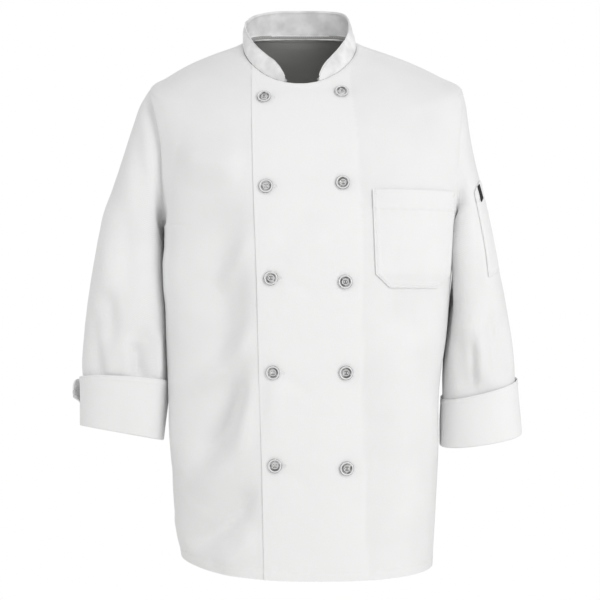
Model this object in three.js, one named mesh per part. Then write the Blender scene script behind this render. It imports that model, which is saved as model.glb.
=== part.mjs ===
// A white double-breasted chef jacket, filled out as it is when worn, with nobody in it.
//
// The cloth is a set of sewn walls: two fronts that overlap, one back, two set-in sleeves with
// turned-back cuffs, a stand collar, a chest pocket and a sleeve pocket with a small folded tab.
// Ten dished buttons close the front.
//
// Millimetres, +Z up. The front faces -Y and the wearer's left is +X. The origin is at the
// height of the neck points, midway between the shoulders, where the wearer holds the jacket up.

import * as THREE from "three";

// Cloth
const CLOTH = 1.6; // wall of a body or sleeve panel
const COLLAR_CLOTH = 2.2; // two layers with a stiff one between
const POCKET_CLOTH = 1.2;
const TAB_CLOTH = 1.0;
const SEAM_GAP = 0.3; // between two panels at a seam
const PATCH_GAP = 0.8; // between a panel and a patch that is sewn on it

// Rows and columns of the walls
const SKIRT_ROWS = 12; // hem to armpit
const ARMHOLE_ROWS = 10; // armpit to shoulder point
const YOKE_ROWS = 7; // shoulder point to neckline
const FRONT_COLUMNS = 16;
const BACK_COLUMNS = 24;
const SLEEVE_ROWS = 18;
const COLLAR_COLUMNS = 28;
const COLLAR_ROWS = 4;

// The body's sections, from the hem up to the neckline. Each is a ring with its own front and
// back: the heights of its side, front and back points, the middle and half of its width, the
// side point's depth, how far it reaches forward and back, how square its corners are, and how
// much higher than that its left side is and lower its right side, or the other way round.
const SECTIONS = [
  { side: -741, front: -756, back: -752, middle: 1, half: 181, depth: 0, ahead: 129, behind: 120, squareAhead: 2.45, squareBehind: 2.4, tilt: -7 },
  { side: -660, front: -668, back: -664, middle: 0, half: 187, depth: 0, ahead: 132, behind: 121, squareAhead: 2.45, squareBehind: 2.4, tilt: -5 },
  { side: -575, front: -580, back: -578, middle: 1, half: 190, depth: 0, ahead: 134, behind: 120, squareAhead: 2.5, squareBehind: 2.4, tilt: -3 },
  { side: -495, front: -497, back: -496, middle: 1, half: 190.8, depth: 0, ahead: 135, behind: 117, squareAhead: 2.5, squareBehind: 2.4, tilt: -1.5 },
  { side: -420, front: -421, back: -420, middle: 4.5, half: 197.5, depth: 0, ahead: 136, behind: 114, squareAhead: 2.6, squareBehind: 2.4, tilt: 0 },
  { side: -350, front: -350, back: -350, middle: 7, half: 201, depth: 0, ahead: 136, behind: 115, squareAhead: 2.7, squareBehind: 2.4, tilt: 0 },
  { side: -300, front: -300, back: -300, middle: 7.5, half: 204.5, depth: 0, ahead: 135, behind: 118, squareAhead: 2.8, squareBehind: 2.4, tilt: 0 },
  { side: -262, front: -262, back: -258, middle: 7, half: 207.5, depth: 0, ahead: 133, behind: 121, squareAhead: 2.8, squareBehind: 2.45, tilt: 0 },
  { side: -222, front: -228, back: -218, middle: 7, half: 214, depth: 1, ahead: 130.5, behind: 122, squareAhead: 2.75, squareBehind: 2.45, tilt: 0 },
  { side: -182, front: -196, back: -178, middle: 6.5, half: 222, depth: 3, ahead: 127, behind: 119, squareAhead: 2.65, squareBehind: 2.4, tilt: 0 },
  { side: -140, front: -165, back: -134, middle: 6, half: 229, depth: 5, ahead: 121.5, behind: 115.5, squareAhead: 2.5, squareBehind: 2.35, tilt: 0 },
  { side: -99, front: -141, back: -92, middle: 4, half: 232, depth: 7, ahead: 115, behind: 109, squareAhead: 2.4, squareBehind: 2.3, tilt: 0 },
  { side: -62, front: -121, back: -60, middle: 0, half: 226, depth: 8, ahead: 107.5, behind: 100.5, squareAhead: 2.3, squareBehind: 2.3, tilt: 0 },
  { side: -47, front: -105, back: -33, middle: -3, half: 200, depth: 8, ahead: 99.5, behind: 91.5, squareAhead: 2.55, squareBehind: 2.5, tilt: 0 },
  { side: -32, front: -91, back: -13, middle: -5.5, half: 169.5, depth: 8, ahead: 92.5, behind: 82, squareAhead: 2.5, squareBehind: 2.45, tilt: 0 },
  { side: -18.5, front: -79.5, back: 1, middle: -7, half: 135, depth: 8, ahead: 86, behind: 73.5, squareAhead: 2.4, squareBehind: 2.35, tilt: 0 },
  { side: -9, front: -70.5, back: 11.5, middle: -8, half: 106, depth: 8, ahead: 80.5, behind: 67, squareAhead: 2.2, squareBehind: 2.2, tilt: 0 },
  { side: 0, front: -62, back: 20, middle: -9, half: 82, depth: 8, ahead: 76, behind: 62, squareAhead: 2.1, squareBehind: 2.1, tilt: 0 },
];
const HEM = 0; // places on the list of sections
const ARMPIT = 7;
const SHOULDER_POINT = 12;
const NECKLINE = 17;

// The armhole reaches this far ahead of and behind the side line, at its widest.
const ARMHOLE_AHEAD = 62;
const ARMHOLE_BEHIND = 66;
const ARMHOLE_ROUND = 0.8; // under 1 is fuller than an ellipse

// The front edges: the wearer's left front lies on top and reaches past the middle line.
const TOP_EDGE = [
  { height: -760, x: -58 },
  { height: -600, x: -61 },
  { height: -475, x: -65 },
  { height: -345, x: -68 },
  { height: -215, x: -73 },
  { height: -85, x: -77 },
  { height: 0, x: -79 },
];
const UNDER_EDGE = [
  { height: -760, x: 82 },
  { height: -475, x: 81 },
  { height: -345, x: 78 },
  { height: -215, x: 74 },
  { height: -85, x: 62 },
  { height: 0, x: 56 },
];
const TOP_LIFT = 1.4; // the top front stands this much off the body's line where it overlaps
const UNDER_SINK = 1.1; // and the under front lies this much inside it
const LIFT_FADE = 34; // across which each returns to the body's line
const SEAM_HOLD = 40; // folds grow over this distance from a seam

// Sleeves: from the armhole down, the outer and inner points of each ring, how far it reaches
// forward and back, and how much its front is tipped up.
const RIGHT_SLEEVE = [
  { outerX: -226, outerZ: -62, innerX: -200.5, innerZ: -262, ahead: -58, behind: 70, tip: 0 },
  { outerX: -240, outerZ: -83, innerX: -202.5, innerZ: -266, ahead: -58, behind: 76, tip: 0 },
  { outerX: -252.5, outerZ: -117, innerX: -204, innerZ: -272, ahead: -60, behind: 82, tip: 0 },
  { outerX: -264.5, outerZ: -157, innerX: -204, innerZ: -281, ahead: -63, behind: 86, tip: 0 },
  { outerX: -277, outerZ: -198, innerX: -203, innerZ: -294, ahead: -66, behind: 88, tip: 0 },
  { outerX: -290, outerZ: -241, innerX: -201.5, innerZ: -312, ahead: -68, behind: 87, tip: 0 },
  { outerX: -301, outerZ: -284, innerX: -200, innerZ: -336, ahead: -70, behind: 84, tip: 1 },
  { outerX: -309.5, outerZ: -330, innerX: -198.5, innerZ: -365, ahead: -72, behind: 79, tip: 3 },
  { outerX: -316, outerZ: -376, innerX: -197.5, innerZ: -398, ahead: -73, behind: 71, tip: 5 },
  { outerX: -320.5, outerZ: -420, innerX: -197, innerZ: -432, ahead: -73, behind: 61, tip: 6 },
  { outerX: -323, outerZ: -457, innerX: -197.5, innerZ: -466, ahead: -71, behind: 51, tip: 6 },
  { outerX: -321.5, outerZ: -490, innerX: -200, innerZ: -502, ahead: -67, behind: 42, tip: 6 },
  { outerX: -321, outerZ: -519, innerX: -204, innerZ: -535, ahead: -64, behind: 36, tip: 6 },
  { outerX: -322.5, outerZ: -547, innerX: -208, innerZ: -568, ahead: -62, behind: 32, tip: 6 },
];
const LEFT_SLEEVE = [
  { outerX: 225, outerZ: -62, innerX: 214.5, innerZ: -262, ahead: -58, behind: 70, tip: 0 },
  { outerX: 231, outerZ: -82, innerX: 217, innerZ: -266, ahead: -58, behind: 77, tip: 0 },
  { outerX: 236.5, outerZ: -117, innerX: 219, innerZ: -272, ahead: -58, behind: 84, tip: 0 },
  { outerX: 243.5, outerZ: -153, innerX: 219.5, innerZ: -281, ahead: -60, behind: 90, tip: 0 },
  { outerX: 252, outerZ: -192, innerX: 218.5, innerZ: -294, ahead: -62, behind: 94, tip: 0 },
  { outerX: 262, outerZ: -238, innerX: 217, innerZ: -312, ahead: -64, behind: 95, tip: 0 },
  { outerX: 272, outerZ: -284, innerX: 215, innerZ: -336, ahead: -65, behind: 92, tip: 0 },
  { outerX: 281, outerZ: -330, innerX: 212, innerZ: -366, ahead: -65, behind: 86, tip: -1 },
  { outerX: 290, outerZ: -376, innerX: 208.5, innerZ: -400, ahead: -63, behind: 77, tip: -3 },
  { outerX: 296.5, outerZ: -420, innerX: 204, innerZ: -437, ahead: -59, behind: 68, tip: -4 },
  { outerX: 301, outerZ: -458, innerX: 200.5, innerZ: -476, ahead: -54, behind: 60, tip: -4 },
  { outerX: 303, outerZ: -492, innerX: 198, innerZ: -512, ahead: -50, behind: 54, tip: -4 },
  { outerX: 306, outerZ: -525, innerX: 197, innerZ: -543, ahead: -48, behind: 52, tip: -5 },
  { outerX: 310, outerZ: -559, innerX: 197, innerZ: -577, ahead: -48, behind: 52, tip: -5 },
];
const SLEEVE_ROUND = 0.92; // under 1 is squarer than an ellipse
const HEAD_FADE = 4; // rings over which the armhole's own shape fades into the ovals

// Cuffs: the sleeve's end is turned back up over itself. Top edges, as rings like the sleeve's.
const RIGHT_CUFF_TOP = { outerX: -326, outerZ: -480, innerX: -196, innerZ: -486, ahead: -76, behind: 50, tip: 8 };
const LEFT_CUFF_TOP = { outerX: 307, outerZ: -482, innerX: 194.6, innerZ: -510, ahead: -56, behind: 62, tip: -5 };
const CUFF_ROWS = 4;
const FOLD_OUT = 1.9; // the turned-back layer lies this far outside the sleeve at the fold
const FOLD_ROLL = 3.0; // depth of the rolled edge at the bottom
const CUFF_SLIT = 1.2; // opening between the two ends of the turned-back band
const RIGHT_SLIT_TURN = 0.985; // where round the cuff the slit lies: 0 is outside, 0.25 in front
const LEFT_SLIT_TURN = 0.86;
const SLIT_FLARE = 8; // the rear end of the right cuff curls this far out
const FLARE_SHARE = 0.12; // over this share of the way round

// Collar: where its top edge runs, from the wearer's right front end round the back to the left.
const COLLAR_RIGHT_END = -28; // x of its lower corners on the neckline
const COLLAR_LEFT_END = 17;
const COLLAR_TOP = [
  { x: -35, y: -61, z: -37 },
  { x: -42, y: -59, z: -31 },
  { x: -55, y: -52, z: -20 },
  { x: -71, y: -39, z: -4.5 },
  { x: -82, y: -22, z: 11 },
  { x: -88, y: 2, z: 28 },
  { x: -85, y: 26, z: 42 },
  { x: -72, y: 47, z: 53 },
  { x: -45, y: 63, z: 60.5 },
  { x: -12, y: 69, z: 62 },
  { x: 20, y: 65, z: 61.5 },
  { x: 46, y: 51, z: 57.5 },
  { x: 58.5, y: 29, z: 48.5 },
  { x: 62.5, y: 5, z: 34 },
  { x: 59, y: -18, z: 13 },
  { x: 49.5, y: -38, z: -4 },
  { x: 37, y: -51, z: -19.5 },
  { x: 26.5, y: -59, z: -32 },
  { x: 20, y: -62, z: -43 },
];
const COLLAR_SWELL = 2; // the band bows out this much at half its height

// Chest pocket: its outline seen from the front, on the wearer's left.
const POCKET_TOP = { height: -211, inner: 91, outer: 209 };
const POCKET_BOTTOM = { height: -351, inner: 96, outer: 201 };
const POCKET_CORNER = 19; // size of the cut-off lower corners
const POCKET_COLUMNS = 18;
const POCKET_ROWS = 12;

// Sleeve pocket, on the wearer's left sleeve, in rings down the sleeve and shares of a turn.
const PEN_POCKET = { fromRing: 3.86, toRing: 6.84, fromTurn: 0.075, toTurn: 0.195 };
const PEN_POCKET_COLUMNS = 3;
const PEN_POCKET_ROWS = 9;
const TAB = { fromRing: 3.8, toRing: 4.36, fromTurn: 0.128, toTurn: 0.154 };
const TAB_LIFT = PATCH_GAP + POCKET_CLOTH + 0.4;

// Buttons: dished discs in two columns of five.
const BUTTON_RADIUS = 10;
const BUTTON_HEIGHT = 3.8;
const BUTTON_DISH = 1.5; // depth of the hollow in its face
const BUTTON_SIDES = 18;
const BUTTON_GAP = 0.5; // above the cloth
const BUTTONS = [
  { row: 1, right: { x: -59, height: -83 }, left: { x: 50, height: -75 } },
  { row: 2, right: { x: -55.5, height: -211 }, left: { x: 50.5, height: -206 } },
  { row: 3, right: { x: -48.5, height: -338 }, left: { x: 53.5, height: -343 } },
  { row: 4, right: { x: -45.5, height: -468 }, left: { x: 54.5, height: -468 } },
  { row: 5, right: { x: -43, height: -596 }, left: { x: 55.5, height: -600 } },
];

// The largest folds of the body, as soft ridges (+) and troughs (-) seen from the front or back:
// a line between two places, its half width, and its height off the cloth.
const FRONT_FOLDS = [
  { x: -102, z: -150, toX: -88, toZ: -330, width: 34, rise: -5 },
  { x: -150, z: -300, toX: -92, toZ: -450, width: 30, rise: -5 },
  { x: -168, z: -560, toX: -100, toZ: -400, width: 30, rise: 5 },
  { x: -150, z: -640, toX: -84, toZ: -500, width: 30, rise: -6 },
  { x: -160, z: -730, toX: -78, toZ: -610, width: 26, rise: -5 },
  { x: 120, z: -420, toX: 128, toZ: -720, width: 34, rise: 3 },
];
const BACK_FOLDS = [
  { x: -128, z: -190, toX: -112, toZ: -740, width: 30, rise: 7 },
  { x: -70, z: -330, toX: -62, toZ: -740, width: 26, rise: -7 },
  { x: 2, z: -420, toX: 6, toZ: -745, width: 28, rise: 5 },
  { x: 74, z: -310, toX: 66, toZ: -745, width: 26, rise: -6 },
  { x: 134, z: -200, toX: 120, toZ: -740, width: 30, rise: 7 },
  { x: -150, z: -210, toX: -40, toZ: -330, width: 22, rise: -4 },
  { x: 156, z: -215, toX: 50, toZ: -350, width: 22, rise: -4 },
];
// Folds round the sleeves: along the rings, at a share of a turn.
const SLEEVE_FOLDS = [
  { ring: 8.2, toRing: 10.6, turn: 0.12, toTurn: 0.15, width: 0.045, rise: -5 },
  { ring: 8.9, toRing: 10.6, turn: 0.24, toTurn: 0.22, width: 0.035, rise: 4 },
  { ring: 8.6, toRing: 10.6, turn: 0.34, toTurn: 0.31, width: 0.04, rise: -6 },
  { ring: 6.5, toRing: 10.4, turn: 0.66, toTurn: 0.7, width: 0.05, rise: -6 },
  { ring: 5.0, toRing: 9.0, turn: 0.82, toTurn: 0.76, width: 0.05, rise: 5 },
];
const CLEAR_OF_BODY = { from: 0.4, to: 0.6 }; // turns where a sleeve lies along the body, kept smooth

const mix = (a, b, share) => a + (b - a) * share;
const clamp = (value, low, high) => Math.min(high, Math.max(low, value));
const smooth = (value) => {
  const t = clamp(value, 0, 1);
  return t * t * (3 - 2 * t);
};

// A table's column at a place between its rows, on a Catmull-Rom curve.
function along(table, place, column) {
  const last = table.length - 1;
  const i = clamp(Math.floor(place), 0, last - 1);
  const t = place - i;
  const [a, b, c, d] = [i - 1, i, i + 1, i + 2].map((n) => table[clamp(n, 0, last)][column]);
  return b + 0.5 * t * (c - a + t * (2 * a - 5 * b + 4 * c - d + t * (3 * (b - c) + d - a)));
}

// A table's column where its height column reaches a height, in straight steps.
function atHeight(table, height, column) {
  let i = 0;
  while (i < table.length - 2 && table[i + 1].height < height) i += 1;
  const share = clamp((height - table[i].height) / (table[i + 1].height - table[i].height), 0, 1);
  return mix(table[i][column], table[i + 1][column], share);
}

// Height of a soft ridge or trough at a point near its line, fading out at both ends.
function foldRise(fold, u, v, fromU, fromV, toU, toV) {
  const [du, dv] = [toU - fromU, toV - fromV];
  const length2 = du * du + dv * dv;
  const share = ((u - fromU) * du + (v - fromV) * dv) / length2;
  const across = Math.abs((u - fromU) * dv - (v - fromV) * du) / Math.sqrt(length2);
  const ends = smooth((share + 0.15) / 0.4) * smooth((1.15 - share) / 0.4);
  return fold.rise * ends * Math.exp(-((across / fold.width) ** 2));
}

// The body's section at a place on the list.
function sectionAt(place) {
  const section = {};
  for (const column of Object.keys(SECTIONS[0])) section[column] = along(SECTIONS, place, column);
  // A parabola in depth joins the front, side and back heights, so the shoulder line is rounded.
  const [a, b] = [section.ahead, section.behind];
  const [down, up] = [section.front - section.side, section.back - section.side];
  section.bow = (down / a + up / b) / (a + b);
  section.slope = up / b - section.bow * b;
  return section;
}

// A point of the body's ring, at an angle in radians: 0 is the wearer's left, a quarter turn the front.
function ringPoint(section, angle) {
  const [c, s] = [Math.cos(angle), Math.sin(angle)];
  const ahead = s >= 0;
  const power = 2 / (ahead ? section.squareAhead : section.squareBehind);
  const reach = Math.abs(s) ** power * (ahead ? -section.ahead : section.behind);
  const x = section.middle + Math.sign(c) * section.half * Math.abs(c) ** power;
  const share = (x - section.middle) / section.half;
  const z = section.side + section.tilt * share * Math.abs(share) + section.slope * reach + section.bow * reach * reach;
  return new THREE.Vector3(x, section.depth + reach, z);
}

// The angle at which the front of a ring passes an x.
function angleAtX(section, x) {
  const share = clamp((x - section.middle) / section.half, -1, 1);
  return Math.acos(Math.sign(share) * Math.abs(share) ** (section.squareAhead / 2));
}

// The armhole as a loop: turn 0 is the shoulder point, 0.25 the front, 0.5 the armpit.
// Gives the place on the sections and the angle on the ring, for one side of the body.
function armholeAt(turn, wearersLeft) {
  const around = 2 * Math.PI * turn;
  const place = mix(ARMPIT, SHOULDER_POINT, (1 + Math.cos(around)) / 2);
  const section = sectionAt(place);
  const lean = Math.sin(around);
  const reach = Math.abs(lean) < 1e-9 ? 0 : Math.abs(lean) ** ARMHOLE_ROUND;
  const ahead = lean >= 0;
  const share = ahead ? (reach * ARMHOLE_AHEAD) / section.ahead : (reach * ARMHOLE_BEHIND) / section.behind;
  const square = ahead ? section.squareAhead : section.squareBehind;
  const bend = Math.asin(share ** (square / 2));
  const angle = wearersLeft ? bend : Math.PI - bend;
  return { place, angle: ahead ? angle : 2 * Math.PI - angle };
}

// Rows of the body panels as places on the list of sections; the armhole's rows match its loop.
function bodyRows() {
  const rows = [];
  for (let i = 0; i < SKIRT_ROWS; i += 1) rows.push({ place: mix(HEM, ARMPIT, i / SKIRT_ROWS) });
  for (let i = 0; i <= ARMHOLE_ROWS; i += 1) {
    const turn = 0.5 * (1 - i / ARMHOLE_ROWS);
    rows.push({ place: armholeAt(turn, true).place, turn });
  }
  for (let i = 1; i <= YOKE_ROWS; i += 1) rows.push({ place: mix(SHOULDER_POINT, NECKLINE, i / YOKE_ROWS) });
  return rows;
}

const RING_STEPS = 160; // steps of the dense line that a row is spaced along
const BEND_LENGTH = 60; // length that a bend of one radian counts as

// Points spaced evenly along a dense line, and closer where it bends.
function evenly(line, count) {
  const lengths = [0];
  let before = new THREE.Vector3().subVectors(line[1], line[0]);
  for (let i = 1; i < line.length; i += 1) {
    const step = new THREE.Vector3().subVectors(line[i], line[i - 1]);
    lengths.push(lengths[i - 1] + step.length() + BEND_LENGTH * step.angleTo(before));
    before = step;
  }
  const total = lengths[lengths.length - 1];
  const points = [];
  let i = 1;
  for (let n = 0; n <= count; n += 1) {
    const target = (total * n) / count;
    while (i < line.length - 1 && lengths[i] < target) i += 1;
    const share = (target - lengths[i - 1]) / (lengths[i] - lengths[i - 1]);
    points.push(line[i - 1].clone().lerp(line[i], clamp(share, 0, 1)));
  }
  return points;
}


// Outward shifts of the body's cloth from its sections: the overlap, and the folds.
function bodyShift(point, side) {
  const folds = side === "back" ? BACK_FOLDS : FRONT_FOLDS;
  let shift = 0;
  for (const fold of folds) {
    shift += foldRise(fold, point.x, point.z, fold.x, fold.z, fold.toX, fold.toZ);
  }
  if (side === "top") {
    const folded = smooth((point.x - atHeight(TOP_EDGE, point.z, "x")) / LIFT_FADE);
    shift *= folded; // the free edge itself runs straight
    shift += TOP_LIFT * smooth((atHeight(UNDER_EDGE, point.z, "x") + LIFT_FADE - point.x) / LIFT_FADE);
  }
  if (side === "under") {
    const edge = atHeight(TOP_EDGE, point.z, "x");
    shift *= smooth((edge + LIFT_FADE / 2 - point.x) / LIFT_FADE);
    shift -= UNDER_SINK * smooth((point.x - edge + LIFT_FADE) / LIFT_FADE);
  }
  return shift;
}

// One body panel as rows of points. The sections give the line, then the shifts move it along
// its own normals, except at the seams, where the neighbours meet.
function bodyPanel(side) {
  const rows = bodyRows().map(({ place, turn }) => {
    const section = sectionAt(place);
    let [from, to] = [0, 0];
    if (side === "top") [from, to] = [0, angleAtX(section, atHeight(TOP_EDGE, section.front, "x"))];
    if (side === "under") [from, to] = [Math.PI, angleAtX(section, atHeight(UNDER_EDGE, section.front, "x"))];
    if (side === "back") [from, to] = [Math.PI, 2 * Math.PI];
    if (turn !== undefined && side !== "back") from = armholeAt(turn, side === "top").angle;
    if (turn !== undefined && side === "back") {
      from = armholeAt(1 - turn, false).angle;
      to = armholeAt(1 - turn, true).angle;
      if (to < Math.PI) to += 2 * Math.PI;
    }
    const line = [];
    for (let i = 0; i <= RING_STEPS; i += 1) line.push(ringPoint(section, mix(from, to, i / RING_STEPS)));
    return evenly(line, side === "back" ? BACK_COLUMNS : FRONT_COLUMNS);
  });
  const panel = sheet(rows, false, new THREE.Vector3(0, 0, -400));
  rows.forEach((row, i) => {
    const seams = side === "back" ? [row[0].clone(), row[row.length - 1].clone()] : [row[0].clone()];
    row.forEach((point, j) => {
      const held = smooth(Math.min(...seams.map((seam) => seam.distanceTo(point))) / SEAM_HOLD);
      point.addScaledVector(panel.normals[i][j], bodyShift(point, side) * held);
    });
  });
  return renewed(panel);
}

// An oval ring of a sleeve or cuff, at a share of a turn: 0 is outside, 0.25 in front.
function ovalPoint(ring, turn) {
  const around = 2 * Math.PI * turn;
  const [c, s] = [Math.cos(around), Math.sin(around)];
  const out = Math.sign(c) * Math.abs(c) ** SLEEVE_ROUND;
  const forward = Math.sign(s) * Math.abs(s) ** SLEEVE_ROUND;
  const middleY = (ring.ahead + ring.behind) / 2;
  const halfY = (ring.behind - ring.ahead) / 2;
  return new THREE.Vector3(
    mix(ring.innerX, ring.outerX, (1 + out) / 2),
    middleY - halfY * forward,
    mix(ring.innerZ, ring.outerZ, (1 + out) / 2) + ring.tip * forward,
  );
}

function sleeveRing(table, place) {
  const ring = {};
  for (const column of Object.keys(table[0])) ring[column] = along(table, place, column);
  return ring;
}

// A point of a sleeve: an oval, plus what is left of the armhole's own shape near the top.
function sleevePoint(table, place, turn) {
  const wearersLeft = table === LEFT_SLEEVE;
  const point = ovalPoint(sleeveRing(table, place), turn);
  if (place < HEAD_FADE) {
    const hole = armholeAt(turn, wearersLeft);
    const seam = ringPoint(sectionAt(hole.place), hole.angle);
    const rest = seam.sub(ovalPoint(table[0], turn));
    point.addScaledVector(rest, 1 - smooth(place / HEAD_FADE));
  }
  return point;
}

// A sleeve as rings of points, with its folds.
function sleevePanel(table) {
  const turns = 2 * ARMHOLE_ROWS;
  const rows = [];
  const last = table.length - 1;
  for (let i = 0; i <= SLEEVE_ROWS; i += 1) {
    const row = [];
    for (let j = 0; j < turns; j += 1) row.push(sleevePoint(table, (last * i) / SLEEVE_ROWS, j / turns));
    rows.push(row);
  }
  const panel = sheet(rows, true, centreOf(rows[SLEEVE_ROWS / 2]));
  rows.forEach((row, i) =>
    row.forEach((point, j) => {
      const [place, turn] = [(last * i) / SLEEVE_ROWS, j / turns];
      point.addScaledVector(panel.normals[i][j], sleeveShift(place, turn));
    }),
  );
  return renewed(panel);
}

function sleeveShift(place, turn) {
  if (turn > CLEAR_OF_BODY.from && turn < CLEAR_OF_BODY.to) return 0;
  const perTurn = 12; // rings that count as far as one turn round, so that widths compare
  let shift = 0;
  for (const fold of SLEEVE_FOLDS) {
    const scaled = { rise: fold.rise, width: fold.width * perTurn };
    shift += foldRise(
      scaled,
      turn * perTurn,
      place,
      fold.turn * perTurn,
      fold.ring,
      fold.toTurn * perTurn,
      fold.toRing,
    );
  }
  return shift;
}

// A cuff: the band turned up outside the sleeve, with its rolled edge at the bottom.
function cuffPanel(table, top, slitTurn, flare) {
  const last = table.length - 1;
  const bottom = table[last];
  // Distance outside the sleeve's wall and height above its end, round the roll.
  const roll = [
    { out: -CLOTH, up: -SEAM_GAP },
    { out: -CLOTH * 0.7, up: -FOLD_ROLL * 0.62 },
    { out: 0.4, up: -FOLD_ROLL },
    { out: FOLD_OUT + CLOTH * 0.4, up: -FOLD_ROLL * 0.62 },
    { out: FOLD_OUT + CLOTH, up: 0.4 },
  ];
  const turns = 2 * ARMHOLE_ROWS;
  const grow = (ring, out, up) => {
    const outward = Math.sign(ring.outerX);
    return {
      ...ring,
      outerX: ring.outerX + outward * out,
      innerX: ring.innerX - outward * out,
      outerZ: ring.outerZ + up,
      innerZ: ring.innerZ + up,
      ahead: ring.ahead - out,
      behind: ring.behind + out,
    };
  };
  const rings = roll.map(({ out, up }) => grow(bottom, out, up));
  const fold = rings[rings.length - 1];
  for (let i = 1; i <= CUFF_ROWS; i += 1) {
    const ring = {};
    for (const column of Object.keys(top)) ring[column] = mix(fold[column], top[column], i / CUFF_ROWS);
    rings.push(ring);
  }
  const slit = CUFF_SLIT / 380; // as a share of the cuff's own length round
  const rows = rings.map((ring, i) => {
    const height = clamp((i - roll.length + 1) / CUFF_ROWS, 0, 1);
    const row = [];
    for (let j = 0; j <= turns; j += 1) {
      const share = j / turns;
      const turn = slitTurn + slit / 2 + share * (1 - slit);
      const curl = flare * smooth((share - 1 + FLARE_SHARE) / FLARE_SHARE) * smooth(height * 2.5);
      row.push(ovalPoint(grow(ring, curl, 0), turn));
    }
    return row;
  });
  return sheet(rows, false, centreOf(rows[rows.length - 1]));
}

// The collar: a band between the neckline and its own top edge.
function collarPanel() {
  const section = sectionAt(NECKLINE);
  const [from, to] = [angleAtX(section, COLLAR_RIGHT_END), angleAtX(section, COLLAR_LEFT_END) + 2 * Math.PI];
  const base = [];
  for (let i = 0; i <= RING_STEPS; i += 1) base.push(ringPoint(section, mix(from, to, i / RING_STEPS)));
  const topCurve = new THREE.CatmullRomCurve3(COLLAR_TOP.map(({ x, y, z }) => new THREE.Vector3(x, y, z)));
  const [low, high] = [evenly(base, COLLAR_COLUMNS), evenly(topCurve.getPoints(RING_STEPS), COLLAR_COLUMNS)];
  const rows = [];
  for (let i = 0; i <= COLLAR_ROWS; i += 1) {
    const share = i / COLLAR_ROWS;
    rows.push(
      low.map((point, j) => {
        const out = new THREE.Vector3(point.x - section.middle, point.y - section.depth, 0).normalize();
        return point
          .clone()
          .lerp(high[j], share)
          .addScaledVector(out, COLLAR_SWELL * 4 * share * (1 - share));
      }),
    );
  }
  rows.forEach((row) => row.forEach((point) => (point.z += SEAM_GAP)));
  return sheet(rows, false, new THREE.Vector3(section.middle, section.depth, 0));
}

// The point of the body's top front at an x and a height, and its outward normal.
function topFrontAt(x, height) {
  const pointAt = (atX, place) => {
    const section = sectionAt(place);
    return ringPoint(section, angleAtX(section, atX));
  };
  let [low, high] = [HEM, NECKLINE];
  for (let i = 0; i < 40; i += 1) {
    const middle = (low + high) / 2;
    if (pointAt(x, middle).z < height) low = middle;
    else high = middle;
  }
  const step = 1;
  const point = pointAt(x, low);
  const across = pointAt(x + step, low).sub(pointAt(x - step, low));
  const up = pointAt(x, low + 0.03).sub(pointAt(x, low - 0.03));
  const normal = across.cross(up).normalize();
  return { point: point.addScaledVector(normal, bodyShift(point, "top")), normal };
}

// Places from one x to another at a height on the top front, evenly apart along the cloth.
function evenlyAcross(fromX, toX, height, count) {
  const line = [];
  for (let i = 0; i <= 30; i += 1) line.push(topFrontAt(mix(fromX, toX, i / 30), height).point);
  return evenly(line, count).map(({ x }) => topFrontAt(x, height));
}

// A patch: points lifted off the surface they lie on, so that its own wall stands just clear.
function patch(places, lift) {
  const { point, normal } = places[Math.floor(places.length / 2)][1];
  const inner = point.clone().addScaledVector(normal, -20);
  const rows = places.map((row) => row.map((place) => place.point.clone().addScaledVector(place.normal, lift)));
  return sheet(rows, false, inner);
}

function chestPocket() {
  const rise = POCKET_TOP.height - POCKET_BOTTOM.height;
  const places = [];
  for (let i = 0; i <= POCKET_ROWS; i += 1) {
    const up = i / POCKET_ROWS;
    const cut = Math.max(0, POCKET_CORNER - up * rise);
    const inner = mix(POCKET_BOTTOM.inner, POCKET_TOP.inner, up) + cut;
    const outer = mix(POCKET_BOTTOM.outer, POCKET_TOP.outer, up) - cut;
    const height = mix(POCKET_BOTTOM.height, POCKET_TOP.height, up);
    places.push(evenlyAcross(outer, inner, height, POCKET_COLUMNS));
  }
  return patch(places, PATCH_GAP + POCKET_CLOTH);
}

function leftSleeveAt(place, turn) {
  const point = sleevePoint(LEFT_SLEEVE, place, turn);
  const down = sleevePoint(LEFT_SLEEVE, place + 0.05, turn).sub(sleevePoint(LEFT_SLEEVE, place - 0.05, turn));
  const round = sleevePoint(LEFT_SLEEVE, place, turn + 0.01).sub(sleevePoint(LEFT_SLEEVE, place, turn - 0.01));
  return { point, normal: round.cross(down).normalize() };
}

function onSleeve({ fromRing, toRing, fromTurn, toTurn }, columns, rows, lift) {
  const places = [];
  for (let i = 0; i <= rows; i += 1) {
    const row = [];
    for (let j = 0; j <= columns; j += 1) {
      row.push(leftSleeveAt(mix(toRing, fromRing, i / rows), mix(fromTurn, toTurn, j / columns)));
    }
    places.push(row);
  }
  return patch(places, lift);
}

// A sheet of points in rows, whose outside faces away from an inner point.
function sheet(rows, closed, inner) {
  const panel = { rows, closed, flip: 1 };
  const [i, j] = [Math.floor(rows.length / 2), Math.floor(rows[0].length / 2)];
  const away = rows[i][j].clone().sub(inner);
  if (normalsOf(panel)[i][j].dot(away) < 0) panel.flip = -1;
  return renewed(panel);
}

function renewed(panel) {
  panel.normals = normalsOf(panel);
  return panel;
}

function centreOf(points) {
  const sum = points.reduce((total, point) => total.add(point), new THREE.Vector3());
  return sum.divideScalar(points.length);
}

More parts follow.
